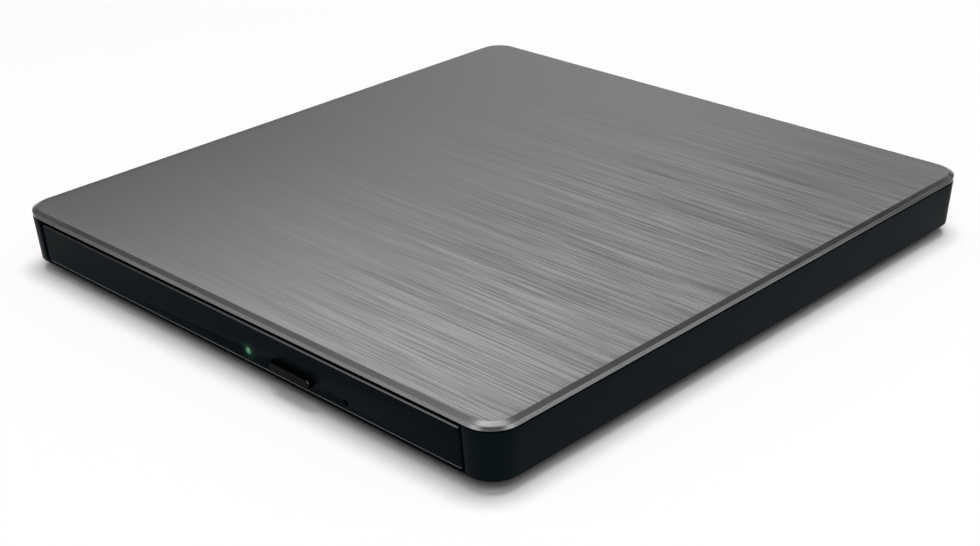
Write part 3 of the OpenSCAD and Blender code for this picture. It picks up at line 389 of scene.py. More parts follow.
def plate_edge():
    """Cut and polished edge of the plate with a faint turning grain. Its colour holds painted reflection and
    painted shade: grey levels along the rim and round the near corner, the upper rim darker to the rear, and
    the slope darker round the left and rear right corners.
    """
    base = (0.25, 0.254, 0.258)
    paint = Paint("plate_edge", base, 0.12, 1.0)
    fine = paint.noise(1500, (0.1, 0.1, 1), detail=3)
    paint.rough(fine, 0.09, 0.14)
    paint.bump(fine, 0.0004)
    at, facing = paint.axes(), paint.axes(paint.add("ShaderNodeTexCoord").outputs["Normal"])
    # Painted reflection: the rim's colour scaled along the diagonal and round the corner, on upright faces
    # only
    along = paint.math("SUBTRACT", at["X"], at["Y"])
    tone = paint.ramp(paint.spread(along, 0, 1, 0.0, RIM_SPAN * MM), RIM_PAINTED_REFLECTION)
    corner = paint.math("SUBTRACT", facing["X"], facing["Y"])
    turn = paint.ramp(paint.spread(corner, 0, 1, 0.9, math.sqrt(2)), CORNER_PAINTED_REFLECTION)
    upright = paint.spread(facing["Z"], 1, 0, 0.2, 0.55)
    rim_top = (TOP - BEVEL_H) * MM
    high = paint.spread(at["Z"], 0, 1, rim_top - 0.4 * MM, rim_top - 0.2 * MM)
    # Painted shade: the upper part of the rim darker towards the rear
    rim_shade = paint.math("MULTIPLY", high, paint.spread(at["Y"], 0, RIM_SHADE_SHARE, RIM_SHADE_FRONT * MM, RIM_SHADE_REAR * MM))
    kept = paint.math("SUBTRACT", 1.0, rim_shade)
    both = paint.math("SUBTRACT", paint.math("MULTIPLY", paint.math("MULTIPLY", tone, turn), kept), 1.0)
    factor = paint.math("MULTIPLY_ADD", both, upright, paint.spread(fine, 0.94, 1.06))
    slope = paint.math("SUBTRACT", 1.0, upright)
    # Painted shade: the slope darker round the left and the rear right corners
    ends = []
    for away, beside, sign in (("Y", "X", 1), ("X", "Y", -1)):
        loss = paint.spread(facing[away], 0, CORNER_PAINTED_SHADE, 0.004 * sign, 0.05 * sign)
        ends.append(paint.math("MULTIPLY", loss, paint.spread(facing[beside], 0, 1, 0.0, 0.12 * sign)))
    lost = paint.math("MULTIPLY", paint.math("MAXIMUM", *ends), slope)
    factor = paint.math("MULTIPLY", factor, paint.math("SUBTRACT", 1.0, lost))
    shaded = paint.add("ShaderNodeVectorMath", operation="SCALE")
    shaded.inputs[0].default_value = base
    paint.link(factor, shaded.inputs["Scale"])
    paint.link(shaded.outputs["Vector"], paint.shader.inputs["Base Color"])
    return paint.material


def led_distance(paint):
    """Distance from the middle of the light, where 1 is the edge of its pipe."""
    at = paint.axes()
    across = paint.math("SUBTRACT", at["X"], LED_X * MM)
    upward = paint.math("SUBTRACT", at["Z"], LED_Z * MM)
    square = paint.math("MULTIPLY_ADD", across, across, paint.math("MULTIPLY", upward, upward))
    return paint.math("DIVIDE", paint.math("SQRT", square, 0.0), LED_R * MM)


def panel_black(name, base, rough, grain, specular):
    """The front panel's plastic, with a painted glow of the light on it: green emission round the light pipe.
    """
    paint = plastic_paint(name, base, rough, grain, specular)
    # Painted light: the glow round the light pipe, as emission of the panel
    stops = ((0.25, (0.004, 0.032, 0.013)), (0.45, (0.001, 0.012, 0.005)), (0.8, (0, 0, 0)))
    glow = paint.ramp(paint.math("MULTIPLY", led_distance(paint), 0.25), stops)
    paint.link(glow, paint.shader.inputs["Emission Color"])
    paint.socket("Emission Strength", 1.0)
    return paint.material


def lit_green():
    """Light pipe with a bright core that fades to dark green."""
    base = (0.012, 0.05, 0.025)
    paint = Paint("lit_green", base, 0.3, 0.0, 0.4)
    grain = paint.math("MULTIPLY_ADD", paint.noise(2500), 0.12, led_distance(paint))
    stops = ((0.0, (0.14, 0.4, 0.22)), (0.25, (0.06, 0.245, 0.118)), (0.55, (0.016, 0.12, 0.05)),
             (1.0, (0.005, 0.04, 0.016)))
    paint.link(paint.ramp(grain, stops), paint.shader.inputs["Emission Color"])
    paint.socket("Emission Strength", 1.0)
    paint.colour(grain, shade(base, 1.5), base, 0.0, 1.0)
    return paint.material


def lens_glass():
    base = (0.35, 0.45, 0.75)
    paint = Paint("lens_glass", base, 0.04, 0.0, 0.8)
    paint.colour(paint.noise(300, detail=2), (0.06, 0.1, 0.3), (0.18, 0.26, 0.55))
    paint.socket("Coat Weight", 1.0)
    paint.socket("Coat Roughness", 0.02)
    return paint.material


def board(name):
    """Solder mask with faint tracks under it."""
    base = (0.012, 0.12, 0.045)
    paint = Paint(name, base, 0.35, 0.0, 0.5)
    tracks = paint.noise(420, (1, 0.08, 1), detail=1)
    paint.colour(tracks, shade(base, 0.7), shade(base, 1.5), 0.45, 0.55)
    paint.rough(paint.noise(200), 0.28, 0.42)
    paint.bump(tracks, 0.02)
    return paint.material


def film(name):
    """Flat cable: conductors side by side along Y."""
    paint = Paint(name, (0.55, 0.5, 0.4), 0.35, 0.0, 0.5)
    wave = paint.add("ShaderNodeTexWave", wave_type="BANDS", bands_direction="X")
    wave.inputs["Scale"].default_value = 320
    wave.inputs["Distortion"].default_value = 0.0
    paint.link(paint.place, wave.inputs["Vector"])
    paint.colour(wave.outputs["Fac"], (0.3, 0.26, 0.2), (0.62, 0.58, 0.48), 0.2, 0.8)
    paint.rough(paint.noise(150), 0.3, 0.42)
    paint.bump(wave.outputs["Fac"], 0.02)
    return paint.material


def coil(name):
    """Copper winding: close turns across X."""
    base = (0.45, 0.2, 0.08)
    paint = Paint(name, base, 0.35, 1.0)
    turns = paint.noise(2200, (0.05, 1, 0.05), detail=1)
    paint.colour(turns, shade(base, 0.6), shade(base, 1.3), 0.4, 0.6)
    paint.rough(turns, 0.28, 0.45)
    paint.bump(turns, 0.05)
    return paint.material


CASE_BLACK = (0.0028, 0.0070, 0.0090)
BEZEL_BLACK = (0.0026, 0.0058, 0.0080)
# Painted reflection: share of the upper edges' reflection kept, from left to right
UPPER_PAINTED_REFLECTION = greys((0.05, 0.03), (0.35, 0.2), (0.65, 0.55), (0.9, 0.75))
LOOKS = {
    "brushed_top": brushed_top(),
    "plate_edge": plate_edge(),
    "case_black": wall_black("case_black", CASE_BLACK, 0.42, 0.0015, 0.023),
    "bezel_black": panel_black("bezel_black", BEZEL_BLACK, 0.36, 0.001, 0.009),
    "button_black": plastic("button_black", (0.0076, 0.0078, 0.0098), 0.4, 0.001, 0.016),
    "button_top": plastic("button_top", (0.0009, 0.0010, 0.0012), 0.55, 0.001, 0.006),
    "black_edge": glossy_black("black_edge", BEZEL_BLACK, 0.28, 0.0005, 1.0),
    "upper_edge": glossy_black("upper_edge", BEZEL_BLACK, 0.28, 0.0005, 1.0, fade=UPPER_PAINTED_REFLECTION),
    "tray_black": plastic("tray_black", (0.028, 0.029, 0.031), 0.55, 0.008, 0.35, 1700),
    "foot_rubber": rubber("foot_rubber", (0.022, 0.022, 0.023)),
    "screw_steel": metal("screw_steel", (0.42, 0.42, 0.43), 0.38),
    "sheet_steel": metal("sheet_steel", (0.52, 0.53, 0.54), 0.42, 0.002, (1, 0.04, 1)),
    "white_plastic": plastic("white_plastic", (0.72, 0.7, 0.64), 0.45, 0.003, 0.4),
    "board_green": board("board_green"),
    "chip_black": plastic("chip_black", (0.02, 0.02, 0.021), 0.5, 0.006, 0.4, 3200),
    "can_metal": metal("can_metal", (0.6, 0.6, 0.61), 0.34),
    "socket_steel": metal("socket_steel", (0.6, 0.6, 0.6), 0.26, 0.001),
    "ribbon_film": film("ribbon_film"),
    "light_green": lit_green(),
    "cast_metal": metal("cast_metal", (0.45, 0.45, 0.47), 0.5, 0.01),
    "rod_steel": metal("rod_steel", (0.62, 0.62, 0.64), 0.2, 0.0008),
    "hub_grey": plastic("hub_grey", (0.16, 0.16, 0.165), 0.45, 0.004, 0.4),
    "lens_glass": lens_glass(),
    "coil_copper": coil("coil_copper"),
}


# Mesh building
def finish_mesh(obj, angle=32):
    obj.data.shade_smooth()
    obj.data.set_sharp_from_angle(angle=math.radians(angle))


def make_object(name, vertices, faces):
    mesh = bpy.data.meshes.new(name)
    mesh.from_pydata([Vector(v) * MM for v in vertices], [], faces)
    mesh.validate()
    obj = bpy.data.objects.new(name, mesh)
    scene.collection.objects.link(obj)
    return obj


def rounded(points, radii, steps=5):
    """A polyline with an arc of the given radius at each inner corner."""
    out = [Vector(points[0])]
    for before, corner, after, radius in zip(points, points[1:], points[2:], radii):
        at = Vector(corner)
        back, ahead = Vector(before) - at, Vector(after) - at
        half = back.angle(ahead) / 2
        cut = min(radius / math.tan(half), 0.48 * back.length, 0.48 * ahead.length)
        if cut < 1e-4:
            out.append(at)
            continue
        first, last = at + back.normalized() * cut, at + ahead.normalized() * cut
        reach = cut / math.cos(half)
        middle = at + (back.normalized() + ahead.normalized()).normalized() * reach
        arm, swing = first - middle, (last - middle)
        turn = arm.angle(swing)
        for step in range(steps + 1):
            t = step / steps
            share = (math.sin((1 - t) * turn) * arm + math.sin(t * turn) * swing) / math.sin(turn)
            out.append(middle + share)
    out.append(Vector(points[-1]))
    return out


def rect_loop(low, high, radii, inset, steps=14):
    """Points of a rectangle with round corners, moved inward; radii anticlockwise from the high corner."""
    points = []
    corners = ((1, 1), (0, 1), (0, 0), (1, 0))
    for index, ((right, top), radius) in enumerate(zip(corners, radii)):
        radius = max(radius, inset + 0.02)
        cx = high[0] - radius if right else low[0] + radius
        cy = high[1] - radius if top else low[1] + radius
        for step in range(steps + 1):
            angle = math.pi / 2 * (index + step / steps)
            points.append((cx + (radius - inset) * math.cos(angle), cy + (radius - inset) * math.sin(angle)))
    return points


def skin(name, loops):
    """A closed skin through loops of equal length, with its two ends capped."""
    count = len(loops[0])
    vertices = [p for loop in loops for p in loop]
    faces = [tuple(reversed(range(count)))]
    for row in range(len(loops) - 1):
        for k in range(count):
            a, b = row * count + k, row * count + (k + 1) % count
            faces.append((a, b, b + count, a + count))
    faces.append(tuple(range((len(loops) - 1) * count, len(loops) * count)))
    return make_object(name, vertices, faces)


def slab(name, low, high, radii, outline, steps=14):
    """A plan with round corners whose edge follows (inset, height) points from below to above."""
    return skin(name, [
        [(x, y, z) for x, y in rect_loop(low, high, radii, inset, steps)] for inset, z in outline])


def bar_y(name, low, high, radii, rear, front, steps):
    """A straight bar along Y, whose section is a rectangle in X and Z with round corners."""
    return skin(name, [
        [(x, y, z) for x, z in rect_loop(low, high, radii, 0, steps)] for y in (rear, front)])


def block(name, low, high, radius=0.0, edge=0.0, steps=6):
    """An upright block with round corners and rounded upper and lower edges."""
    outline = [(edge + 0.3, low[2]), (0, low[2]), (0, high[2]), (edge + 0.3, high[2])]
    if edge:
        outline = rounded(outline, (edge, edge), 4)
    return slab(name, low[:2], high[:2], [max(radius, 0.03)] * 4, outline, steps)


def turned(name, centre, profile, steps):
    """A closed solid of revolution about Z, from (radius, height) points running from below to above."""
    loops = []
    for radius, z in profile:
        ring = [2 * math.pi * k / steps for k in range(steps)]
        loops.append([(centre[0] + radius * math.cos(a), centre[1] + radius * math.sin(a), z) for a in ring])
    return skin(name, loops)


def peg(name, x, y, radius, z0, z1, steps):
    return turned(name, (x, y), ((radius, z0), (radius, z1)), steps)


def along_y(name, x, z, radius, y0, y1, steps):
    """A round bar along Y, from the front to the back."""
    obj = turned(name, (0, 0), ((radius, -y1), (radius, -y0)), steps)
    tip = Matrix.Rotation(math.radians(90), 4, "X")
    obj.data.transform(Matrix.Translation(Vector((x, 0, z)) * MM) @ tip)
    return obj


def settle(obj):
    """Replaces an object's mesh by what its modifiers make of it."""
    bpy.context.view_layer.update()
    graph = bpy.context.evaluated_depsgraph_get()
    mesh = bpy.data.meshes.new_from_object(obj.evaluated_get(graph))
    obj.modifiers.clear()
    obj.data = mesh


def carve(obj, cutters):
    for cutter in cutters:
        cut = obj.modifiers.new("cut", "BOOLEAN")
        cut.operation, cut.solver, cut.object = "DIFFERENCE", "EXACT", cutter
    settle(obj)
    for cutter in cutters:
        bpy.data.objects.remove(cutter)


def ease(obj, width, angle=40):
    """Rounds the sharp edges by a small radius."""
    soft = obj.modifiers.new("edge", "BEVEL")
    soft.width, soft.segments = width * MM, 2
    soft.limit_method, soft.angle_limit = "ANGLE", math.radians(angle)
    soft.use_clamp_overlap, soft.miter_outer = True, "MITER_ARC"
    settle(obj)


def place(obj, body, slot, *nodes, looks=None):
    """Gives a piece its paint, its body and the solids that it stands for."""
    for look in looks or [slot]:
        obj.data.materials.append(LOOKS[look])
    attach(obj, body)
    if nodes:
        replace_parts(obj, *nodes)
    return obj


# Top plate: flat, sloping edge and upright rim
def make_plate():
    outline = rounded(
        [(RIM_T, TOP - PLATE_T), (RIM_T, plate_low.z), (0, plate_low.z), (0, TOP - BEVEL_H),
         (BEVEL_W, TOP), (PLATE_FLAT, TOP)],
        (0.05, 0.1, 0.14, 0.16), 5)
    plate = slab("plate_cap", plate_low[:2], plate_high[:2], [CORNER_R] * 4, outline, 20)
    finish_mesh(plate, 20)
    grain = plate.data.uv_layers.new(name="grain")
    for loop in plate.data.loops:
        x, y, z = plate.data.vertices[loop.vertex_index].co
        grain.data[loop.index].uv = (y + z * 0.5, x + z * 0.5)
    place(plate, "case", "brushed_top", "top_plate", looks=["brushed_top", "plate_edge"])
    for face in plate.data.polygons:
        face.material_index = 0 if face.normal.z > 0.995 and face.center.z > (TOP - 0.01) * MM else 1
    return plate


make_plate()


# Openings of the tub: radii of the mouth, ledges beside the drive, space behind it, depths of the pockets
MOUTH_RADII = [0.1, 0.1, 1.4, 0.8]
LEDGE_H, LEDGE_FRONT, LEDGE_REAR = 3, 6, 5
REAR_HW, REAR_H = 50, 1.6
LABEL_DEPTH, FOOT_SEAT, POCKET_DEPTH, POST_DEPTH = 0.2, 0.4, 3.4, 5.3


# Tub: leaning walls, rounded lower edge, dished underside, mouth, socket opening, screw and foot pockets
def make_tub():
    outline = rounded(
        [(6.35, Z_BASE), (CORNER_R - 0.5, Z_BASE), (WALL_LOW, Z_WALL), (WALL_IN, Z_SEAM), (1.6, Z_SEAM)],
        (3.0, 0.3, 0.12), 6)
    tub = slab("tub", (-HALF_W, -HALF_D), (HALF_W, HALF_D), [CORNER_R] * 4, outline, 18)
    bay_x, bay_front, bay_rear = drive_high.x + PLAY, drive_low.y - PLAY, drive_high.y + PLAY
    wall_x, wall_y = HALF_W - WALL_LOW - WALL_T, HALF_D - WALL_LOW - WALL_T
    above = Z_SEAM + 1
    mouth, lip = (
        bar_y("cut", (MOUTH_LEFT, floor), (MOUTH_HW, above + 4), MOUTH_RADII, rear, -HALF_D - 1, 8)
        for floor, rear in ((Z_SILL, drive_low.y + 0.5), (Z_LIP, bezel_high.y + 0.2)))
    cutters = [
        block("cut", (-bay_x, bay_front, Z_FLOOR), (bay_x, bay_rear, above)),
        block("cut", (-wall_x, drive_low.y + LEDGE_FRONT, Z_FLOOR + LEDGE_H),
              (wall_x, drive_high.y - LEDGE_REAR, above)),
        block("cut", (-REAR_HW, drive_high.y, Z_FLOOR + REAR_H), (REAR_HW, wall_y, above)),
        mouth,
        lip,
        block("cut", (-LABEL_W, LABEL_FRONT, 0), (LABEL_W, LABEL_REAR, Z_BASE + LABEL_DEPTH), 2.5),
        bar_y("cut", (socket_low.x - PLAY, socket_low.z - PLAY), (socket_high.x + PLAY, socket_high.z + PLAY),
              [0.6] * 4, HALF_D + 1, wall_y - 1, 6),
    ]
    for sx in (-1, 1):
        for sy in (-1, 1):
            cutters.append(peg("cut", sx * FOOT_X, sy * FOOT_Y, FOOT_R + 0.1, 0, Z_BASE + FOOT_SEAT, 48))
            cutters.append(peg("cut", sx * SCREW_X, sy * SCREW_Y, POCKET_R, 0, Z_BASE + POCKET_DEPTH, 32))
            cutters.append(peg("cut", sx * SCREW_X, sy * SCREW_Y, POST_R, Z_SEAM - POST_DEPTH, above, 32))
    carve(tub, cutters)
    ease(tub, 0.1, 42)
    finish_mesh(tub, 35)
    return place(tub, "case", "case_black", "bottom_case")


make_tub()


def polish(obj, facing):
    """Gives the rounded edges round a face a glossier paint: the third on the upper ones, else the second."""
    for face in obj.data.polygons:
        share = face.normal.dot(facing)
        edge = 0.04 < share < 0.985 and face.normal.x < 0.12
        face.material_index = (2 if face.normal.z > 0.1 else 1) if edge else 0


# Tray front: leaning face, rounded outline, openings for button, light and emergency hole
PANEL_RADII, PANEL_EDGE = [0.35, 0.35, 1.2, 0.6], 0.4


def lean_y(z):
    return -HALF_D + WALL_IN + LEAN * (Z_SEAM - z)


def make_bezel():
    low, high = (bezel_low.x, bezel_low.z), (bezel_high.x, bezel_high.z)
    back = bezel_high.y
    steps = rounded([(0.0, 1.0), (0.0, 0.0), (2.0, 0.0)], (PANEL_EDGE,), 6)
    loops = [[(x, back, z) for x, z in rect_loop(low, high, PANEL_RADII, 0, 8)]]
    for inset, depth in steps[1:-1]:
        loops.append([(x, lean_y(z) + depth, z) for x, z in rect_loop(low, high, PANEL_RADII, inset, 8)])
    panel = skin("tray_front", loops)
    end = BUTTON_H / 2 + BUTTON_GAP
    half = BUTTON_W / 2 + BUTTON_GAP
    slot = bar_y("cut", (BUTTON_X - half, BUTTON_Z - end), (BUTTON_X + half, BUTTON_Z + end),
                 [end - 0.01] * 4, back + 1, -HALF_D - 1, 10)
    flange = block("cut", (button_low.x - 0.2, back - 1.0, BUTTON_Z - end),
                   (button_high.x + 0.2, back + 1, BUTTON_Z + BUTTON_H / 2 + 1.2))
    carve(panel, [
        slot, flange,
        along_y("cut", LED_X, LED_Z, LED_R + 0.05, -HALF_D - 1, back + 1, 32),
        along_y("cut", HOLE_X, HOLE_Z, HOLE_R, -HALF_D - 1, back + 1, 32),
    ])
    ease(panel, 0.07, 42)
    finish_mesh(panel, 35)
    place(panel, "tray", "bezel_black", "front_bezel", looks=["bezel_black", "black_edge", "upper_edge"])
    polish(panel, Vector((0, -1, 0)))
    return panel


make_bezel()


# Eject button: sides that taper towards its face, most at its left and lower edge; flange and stem behind
BUTTON_TAPER = (1.2, 0.5, 0.2, 0.25)
BUTTON_SIDES = (
    (-0.1, 0.0), (0.1, 0.03), (0.4, 0.2), (0.7, 0.4), (0.83, 0.52), (0.92, 0.66), (0.98, 0.82), (1.0, 1.0))
FLANGE_T, STEM_W, STEM_H = 0.6, 1.5, 0.4


def make_button():
    face = button_low.y
    half = BUTTON_W / 2
    low, high = (BUTTON_X - half, BUTTON_Z - BUTTON_H / 2), (BUTTON_X + half, BUTTON_Z + BUTTON_H / 2)
    flange_y = bezel_high.y - 0.85
    loops = [[(x, flange_y, z) for x, z in rect_loop(low, high, [BUTTON_H / 2 - 0.01] * 4, 0, 10)]]
    for out, share in BUTTON_SIDES:
        near = [low[k] + BUTTON_TAPER[k] * share for k in (0, 1)]
        far = [high[k] - BUTTON_TAPER[k + 2] * share for k in (0, 1)]
        radius = (far[1] - near[1]) / 2 - 0.01
        loops.append([(x, lean_y(BUTTON_Z) + (face - lean_y(BUTTON_Z)) * out, z)
                      for x, z in rect_loop(near, far, [radius] * 4, 0, 10)])
    cap = skin("button_cap", loops)
    plate = block("button_flange", (button_low.x, flange_y, BUTTON_Z - BUTTON_H / 2),
                  (button_high.x, flange_y + FLANGE_T, button_high.z), 0.2, 0.08)
    stem = block("button_stem", (BUTTON_X - STEM_W, flange_y + FLANGE_T - 0.1, BUTTON_Z - STEM_H),
                 (BUTTON_X + STEM_W, button_high.y, BUTTON_Z + STEM_H), 0.2, 0.08)
    for piece in (cap, plate, stem):
        finish_mesh(piece)
    place(cap, "button", "bezel_black", "eject_button", looks=["button_black", "black_edge", "button_top"])
    # Painted shade: the top side and the right end take a near-black copy of the button's plastic; the upper
    # right corner takes the glossier edge paint
    for side in cap.data.polygons:
        glint = side.normal.x > 0.3 and side.normal.z > 0.15 and side.normal.y < -0.3
        dark = side.normal.z > 0.35 or side.normal.x > 0.45
        side.material_index = 1 if glint else 2 if dark else 0
    place(plate, "button", "bezel_black")
    place(stem, "button", "bezel_black")


make_button()


# Feet with rounded edges
def make_feet():
    profile = rounded(
        [(1.0, 0.12), (FOOT_R - 1.0, 0.0), (FOOT_R, 0.0), (FOOT_R, foot_high.z), (1.0, foot_high.z)],
        (1.5, 0.45, 0.1), 6)
    for sx, side in ((-1, "left"), (1, "right")):
        for sy, end in ((-1, "front"), (1, "rear")):
            foot = turned(f"foot_{end}_{side}", (sx * FOOT_X, sy * FOOT_Y), profile, 56)
            finish_mesh(foot)
            place(foot, "case", "foot_rubber", *(["rubber_feet"] if (sx, sy) == (-1, -1) else []))


make_feet()


# Flat cable: a lower leg from the case and an upper leg from the tray, which meet in a fold between them
TRAVEL = 125
FOLD_Y = ribbon_low.y + 0.4
CABLE_END = FOLD_Y + TRAVEL / 2 + 2
CABLE_T = 0.06
FOLD_SHARE = 0.567
CLIMB_FROM, CLIMB_LENGTH, RISE_R = 14, 16, 0.2
LOWER_STEPS, UPPER_STEPS, FOLD_STEPS, RISE_STEPS = 60, 56, 8, 6


def cable_leg(name, path):
    """A thin band across X that follows (y, z) points."""
    loops = []
    for k, (y, z) in enumerate(path):
        back, ahead = path[max(k - 1, 0)], path[min(k + 1, len(path) - 1)]
        way = Vector((ahead[0] - back[0], ahead[1] - back[1])).normalized() * CABLE_T / 2
        near, far = (y + way.y, z - way.x), (y - way.y, z + way.x)
        left, right = ribbon_low.x, ribbon_high.x
        loops.append([(left, *near), (right, *near), (right, *far), (left, *far)])
    leg = skin(name, loops)
    work = bmesh.new()
    work.from_mesh(leg.data)
    bmesh.ops.recalc_face_normals(work, faces=work.faces)
    work.to_mesh(leg.data)
    work.free()
    finish_mesh(leg)
    return leg


def make_cable():
    floor_z, sill_z, upper_z = ribbon_low.z + 0.04, Z_SILL + 0.06, Z_SILL + 0.15
    rear = ribbon_high.y
    lower = []
    for step in range(LOWER_STEPS + 1):
        y = rear + (FOLD_Y - rear) * step / LOWER_STEPS
        t = min(1, max(0, (CLIMB_FROM - y) / CLIMB_LENGTH))
        lower.append((y, floor_z + (sill_z - floor_z) * t * t * (3 - 2 * t)))
    loop_r = (upper_z - sill_z) / 2
    for step in range(1, FOLD_STEPS + 1):
        turn = math.pi * step / FOLD_STEPS
        lower.append((FOLD_Y - loop_r * math.sin(turn), upper_z - loop_r - loop_r * math.cos(turn)))
    rise = CABLE_END - 0.35
    upper = [(FOLD_Y + (rise - FOLD_Y) * step / UPPER_STEPS, upper_z + 0.05 * step / UPPER_STEPS)
             for step in range(UPPER_STEPS + 1)]
    for step in range(1, RISE_STEPS + 1):
        turn = math.pi / 2 * step / RISE_STEPS
        upper.append((rise + RISE_R * math.sin(turn), upper_z + 0.05 + RISE_R * (1 - math.cos(turn))))
    upper.append((rise + RISE_R, ribbon_high.z))
    below, above = cable_leg("cable_lower_leg", lower), cable_leg("cable_upper_leg", upper)
    hold = rear - 2.2
    low_end = hold - (hold - FOLD_Y) / FOLD_SHARE
    high_start = rise - (rise - FOLD_Y) / (1 - FOLD_SHARE)
    for leg, start, end in ((below, hold, low_end), (above, high_start, rise)):
        leg.data.materials.append(LOOKS["ribbon_film"])
        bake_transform(leg)
    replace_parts(below, "ribbon_cable")


make_cable()


# The other solids keep their shape, with small rounded edges where they show
def dress(node, width, slot):
    """A copy of a solid's mesh with its flat faces joined and its edges eased."""
    source = frame["nodes"][node]
    body = source["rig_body"]
    mesh = bpy.data.meshes.new(node + "_eased")
    work = bmesh.new()
    work.from_mesh(source.data)
    bmesh.ops.remove_doubles(work, verts=work.verts, dist=2e-6)
    bmesh.ops.dissolve_limit(work, angle_limit=math.radians(0.5), verts=work.verts, edges=work.edges)
    work.to_mesh(mesh)
    work.free()
    mesh.materials.clear()
    obj = bpy.data.objects.new(node + "_eased", mesh)
    scene.collection.objects.link(obj)
    ease(obj, width)
    finish_mesh(obj)
    return place(obj, body, slot, node)


SLOT_OF = {row["node"]: row["material_slot"] for row in frame["record"]["subparts"]}
EASED = {"disc_tray": 0.12, "turntable": 0.08, "traverse_cover": 0.08, "usb_socket_shell": 0.06,
         "usb_socket_tongue": 0.06, "rail_left": 0.06, "rail_right": 0.06}
replaced = {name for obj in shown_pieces() for name in obj.get("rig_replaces", [])}
for node, obj in frame["nodes"].items():
    if node in replaced:
        continue
    slot = SLOT_OF[node]
    if node in EASED:
        dress(node, EASED[node], slot)
        continue
    obj.data.materials.clear()
    obj.data.materials.append(LOOKS[slot])


# Floor, lamps and world
def combine(tree, kind, first, second):
    node = tree.nodes.new("ShaderNodeMath")
    node.operation = kind
    tree.links.new(first, node.inputs[0])
    tree.links.new(second, node.inputs[1])
    return node.outputs[0]


def seen_rays(tree):
    """1 for the rays that show the background: from the camera, and off or through the object."""
    path = tree.nodes.new("ShaderNodeLightPath")
    found = path.outputs["Is Camera Ray"]
    for kind in ("Is Glossy Ray", "Is Transmission Ray"):
        found = combine(tree, "MAXIMUM", found, path.outputs[kind])
    return found


FLOOR_HALF, FLOOR_Z = 550, -0.02
FLOOR_WHITE = (1.0, 0.995, 0.995, 1)


def make_floor():
    """A white floor for the rays that show it, clear for the others and from below."""
    corners = [(x * FLOOR_HALF, y * FLOOR_HALF, FLOOR_Z) for x, y in ((-1, -1), (1, -1), (1, 1), (-1, 1))]
    floor = make_object("floor", corners, [(0, 1, 2, 3)])
    material = bpy.data.materials.new("floor")
    material.use_nodes = True
    tree = material.node_tree
    tree.nodes.clear()
    output = tree.nodes.new("ShaderNodeOutputMaterial")
    seen = tree.nodes.new("ShaderNodeBsdfDiffuse")
    seen.inputs["Color"].default_value = FLOOR_WHITE
    clear = tree.nodes.new("ShaderNodeBsdfTransparent")
    mix = tree.nodes.new("ShaderNodeMixShader")
    tree.links.new(seen_rays(tree), mix.inputs["Fac"])
    tree.links.new(clear.outputs["BSDF"], mix.inputs[1])
    tree.links.new(seen.outputs["BSDF"], mix.inputs[2])
    side = tree.nodes.new("ShaderNodeNewGeometry")
    cover = tree.nodes.new("ShaderNodeMixShader")
    tree.links.new(side.outputs["Backfacing"], cover.inputs["Fac"])
    tree.links.new(mix.outputs["Shader"], cover.inputs[1])
    tree.links.new(clear.outputs["BSDF"], cover.inputs[2])
    tree.links.new(cover.outputs["Shader"], output.inputs["Surface"])
    floor.data.materials.append(material)


def make_lamp(name, towards, distance, size, level):
    """A round soft light. Level is the light on a surface that faces it: 1 shows a white surface white."""
    data = bpy.data.lights.new(name, "AREA")
    data.shape, data.size = "DISK", size
    data.energy = level * math.pi ** 2 * distance ** 2
    lamp = bpy.data.objects.new(name, data)
    scene.collection.objects.link(lamp)
    way = Vector(towards).normalized()
    lamp.location = way * distance
    lamp.rotation_mode = "QUATERNION"
    lamp.rotation_quaternion = way.to_track_quat("Z", "Y")
    lamp.visible_glossy = False
    return lamp


def level_ramp(tree, value, stops):
    """Grey levels between stops of (place, level)."""
    node = tree.nodes.new("ShaderNodeValToRGB")
    set_stops(node.color_ramp, greys(*stops))
    tree.links.new(value, node.inputs["Fac"])
    return node.outputs["Color"]


def between(tree, value, start, end):
    """0 to 1 while a value goes from start to end."""
    node = tree.nodes.new("ShaderNodeMapRange")
    node.inputs["From Min"].default_value, node.inputs["From Max"].default_value = start, end
    tree.links.new(value, node.inputs["Value"])
    return node.outputs["Result"]


def blend_levels(tree, factor, first, second):
    """From the first level, a number or a socket, to the second."""
    node = tree.nodes.new("ShaderNodeMix")
    tree.links.new(factor, node.inputs["Factor"])
    if isinstance(first, float):
        node.inputs["A"].default_value = first
    else:
        tree.links.new(first, node.inputs["A"])
    tree.links.new(second, node.inputs["B"])
    return node.outputs["Result"]


# Levels that the object mirrors: an even one to the sides and the rear, and else by height, side and slant
PLAIN = 0.8
UPWARD = (
    (0.0, 1.0), (0.15, 0.8), (0.24, 0.6), (0.29, 0.39), (0.32, 0.34), (0.35, 0.38), (0.39, 0.54),
    (0.43, 0.96), (0.47, 1.08), (0.515, 1.06), (0.545, 0.45), (0.57, 0.17), (0.613, 0.19), (0.657, 0.25),
    (0.705, 0.3), (0.756, 0.33), (0.8, 0.45), (0.86, 0.6), (0.9, 0.8), (0.935, 1.5), (0.96, 1.9))
SIDEWAYS_LOW = (
    (0.07, 0.28), (0.1, 0.385), (0.13, 0.63), (0.16, 0.93), (0.2, 1.1), (0.23, 1.07), (0.26, 0.88),
    (0.33, 0.88), (0.45, 1.7))
SIDEWAYS_HIGH = ((0.1, 1.1), (0.12, 1.2), (0.14, 1.2), (0.172, 1.4), (0.3, 1.15), (0.495, 0.8))
REARWARD = (
    (0.0, 1.0), (0.15, 1.0), (0.25, 1.1), (0.333, 1.6), (0.4167, 1.48), (0.4667, 1.16), (0.519, 0.88),
    (0.58, 0.8), (0.661, 0.69), (0.742, 0.77), (0.833, 0.81), (0.9, 0.84), (1.0, 0.89))
SLANT_START, SLANT_END = 0.4, 2.2
# Light from the world on the object, by height
FILL_COLOUR = (1, 0.96, 0.945, 1)
FILL_LEVELS = ((0.49, 0.6), (0.5, 0.5), (0.6, 0.28), (0.7, 0.16), (1.0, 0.13))


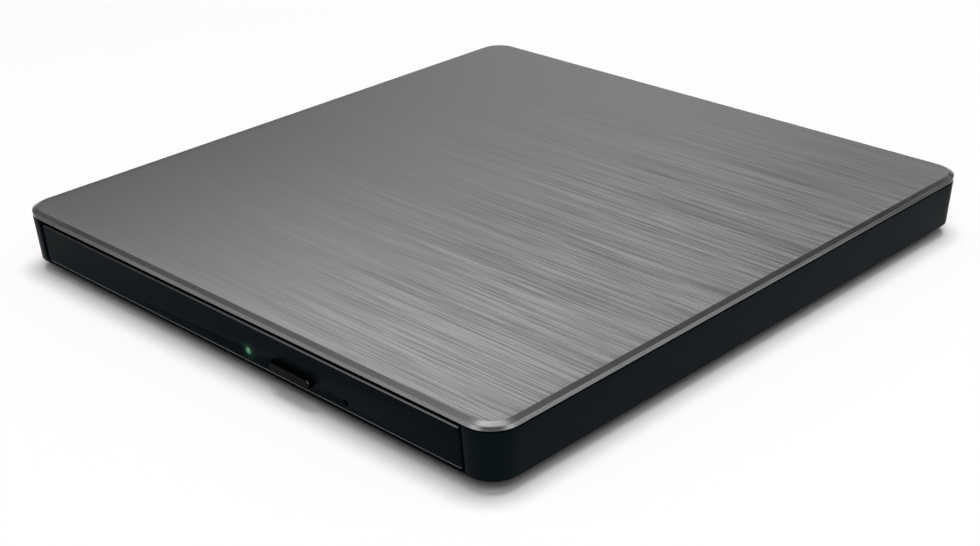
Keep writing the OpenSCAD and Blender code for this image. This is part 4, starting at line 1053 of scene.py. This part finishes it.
def make_world():
    world = bpy.data.worlds.new("world")
    scene.world = world
    world.use_nodes = True
    tree = world.node_tree
    tree.nodes.clear()
    output = tree.nodes.new("ShaderNodeOutputWorld")
    where = tree.nodes.new("ShaderNodeTexCoord")
    split = tree.nodes.new("ShaderNodeSeparateXYZ")
    tree.links.new(where.outputs["Generated"], split.inputs["Vector"])
    x, y, z = (split.outputs[axis] for axis in "XYZ")
    across = between(tree, x, -1, 1)
    slant = between(tree, combine(tree, "DIVIDE", y, z), SLANT_START, SLANT_END)
    height = level_ramp(tree, z, UPWARD)
    side_low, side_high = (level_ramp(tree, across, stops) for stops in (SIDEWAYS_LOW, SIDEWAYS_HIGH))
    side_low = combine(tree, "MULTIPLY", side_low, level_ramp(tree, slant, REARWARD))
    low, high = (combine(tree, "MULTIPLY", height, side) for side in (side_low, side_high))
    ahead = combine(tree, "MULTIPLY", between(tree, y, -0.3, -0.05), between(tree, x, 0.3, 0.1))
    low = blend_levels(tree, between(tree, y, 0.15, 0.35), PLAIN, low)
    high = blend_levels(tree, ahead, PLAIN, high)
    mirrored = blend_levels(tree, between(tree, z, 0.53, 0.57), low, high)
    mirrored = blend_levels(tree, between(tree, z, 0.05, 0.2), 1.0, mirrored)
    path = tree.nodes.new("ShaderNodeLightPath")
    shown = tree.nodes.new("ShaderNodeBackground")
    shown.inputs["Color"].default_value = (1, 1, 1, 1)
    tree.links.new(blend_levels(tree, path.outputs["Is Glossy Ray"], 1.0, mirrored), shown.inputs["Strength"])
    fill = tree.nodes.new("ShaderNodeBackground")
    fill.inputs["Color"].default_value = FILL_COLOUR
    tree.links.new(level_ramp(tree, between(tree, z, -1, 1), FILL_LEVELS), fill.inputs["Strength"])
    both = tree.nodes.new("ShaderNodeMixShader")
    tree.links.new(seen_rays(tree), both.inputs["Fac"])
    tree.links.new(fill.outputs["Background"], both.inputs[1])
    tree.links.new(shown.outputs["Background"], both.inputs[2])
    tree.links.new(both.outputs["Shader"], output.inputs["Surface"])


make_floor()
# Direction, distance and size in metres, and level
make_lamp("key", (0.02, 0.06, 1), 2.4, 1.38, 0.72)
make_lamp("front", (0.62, -0.62, 1.0), 2.8, 1.6, 0.28)
make_world()
scene.view_settings.view_transform = "Standard"
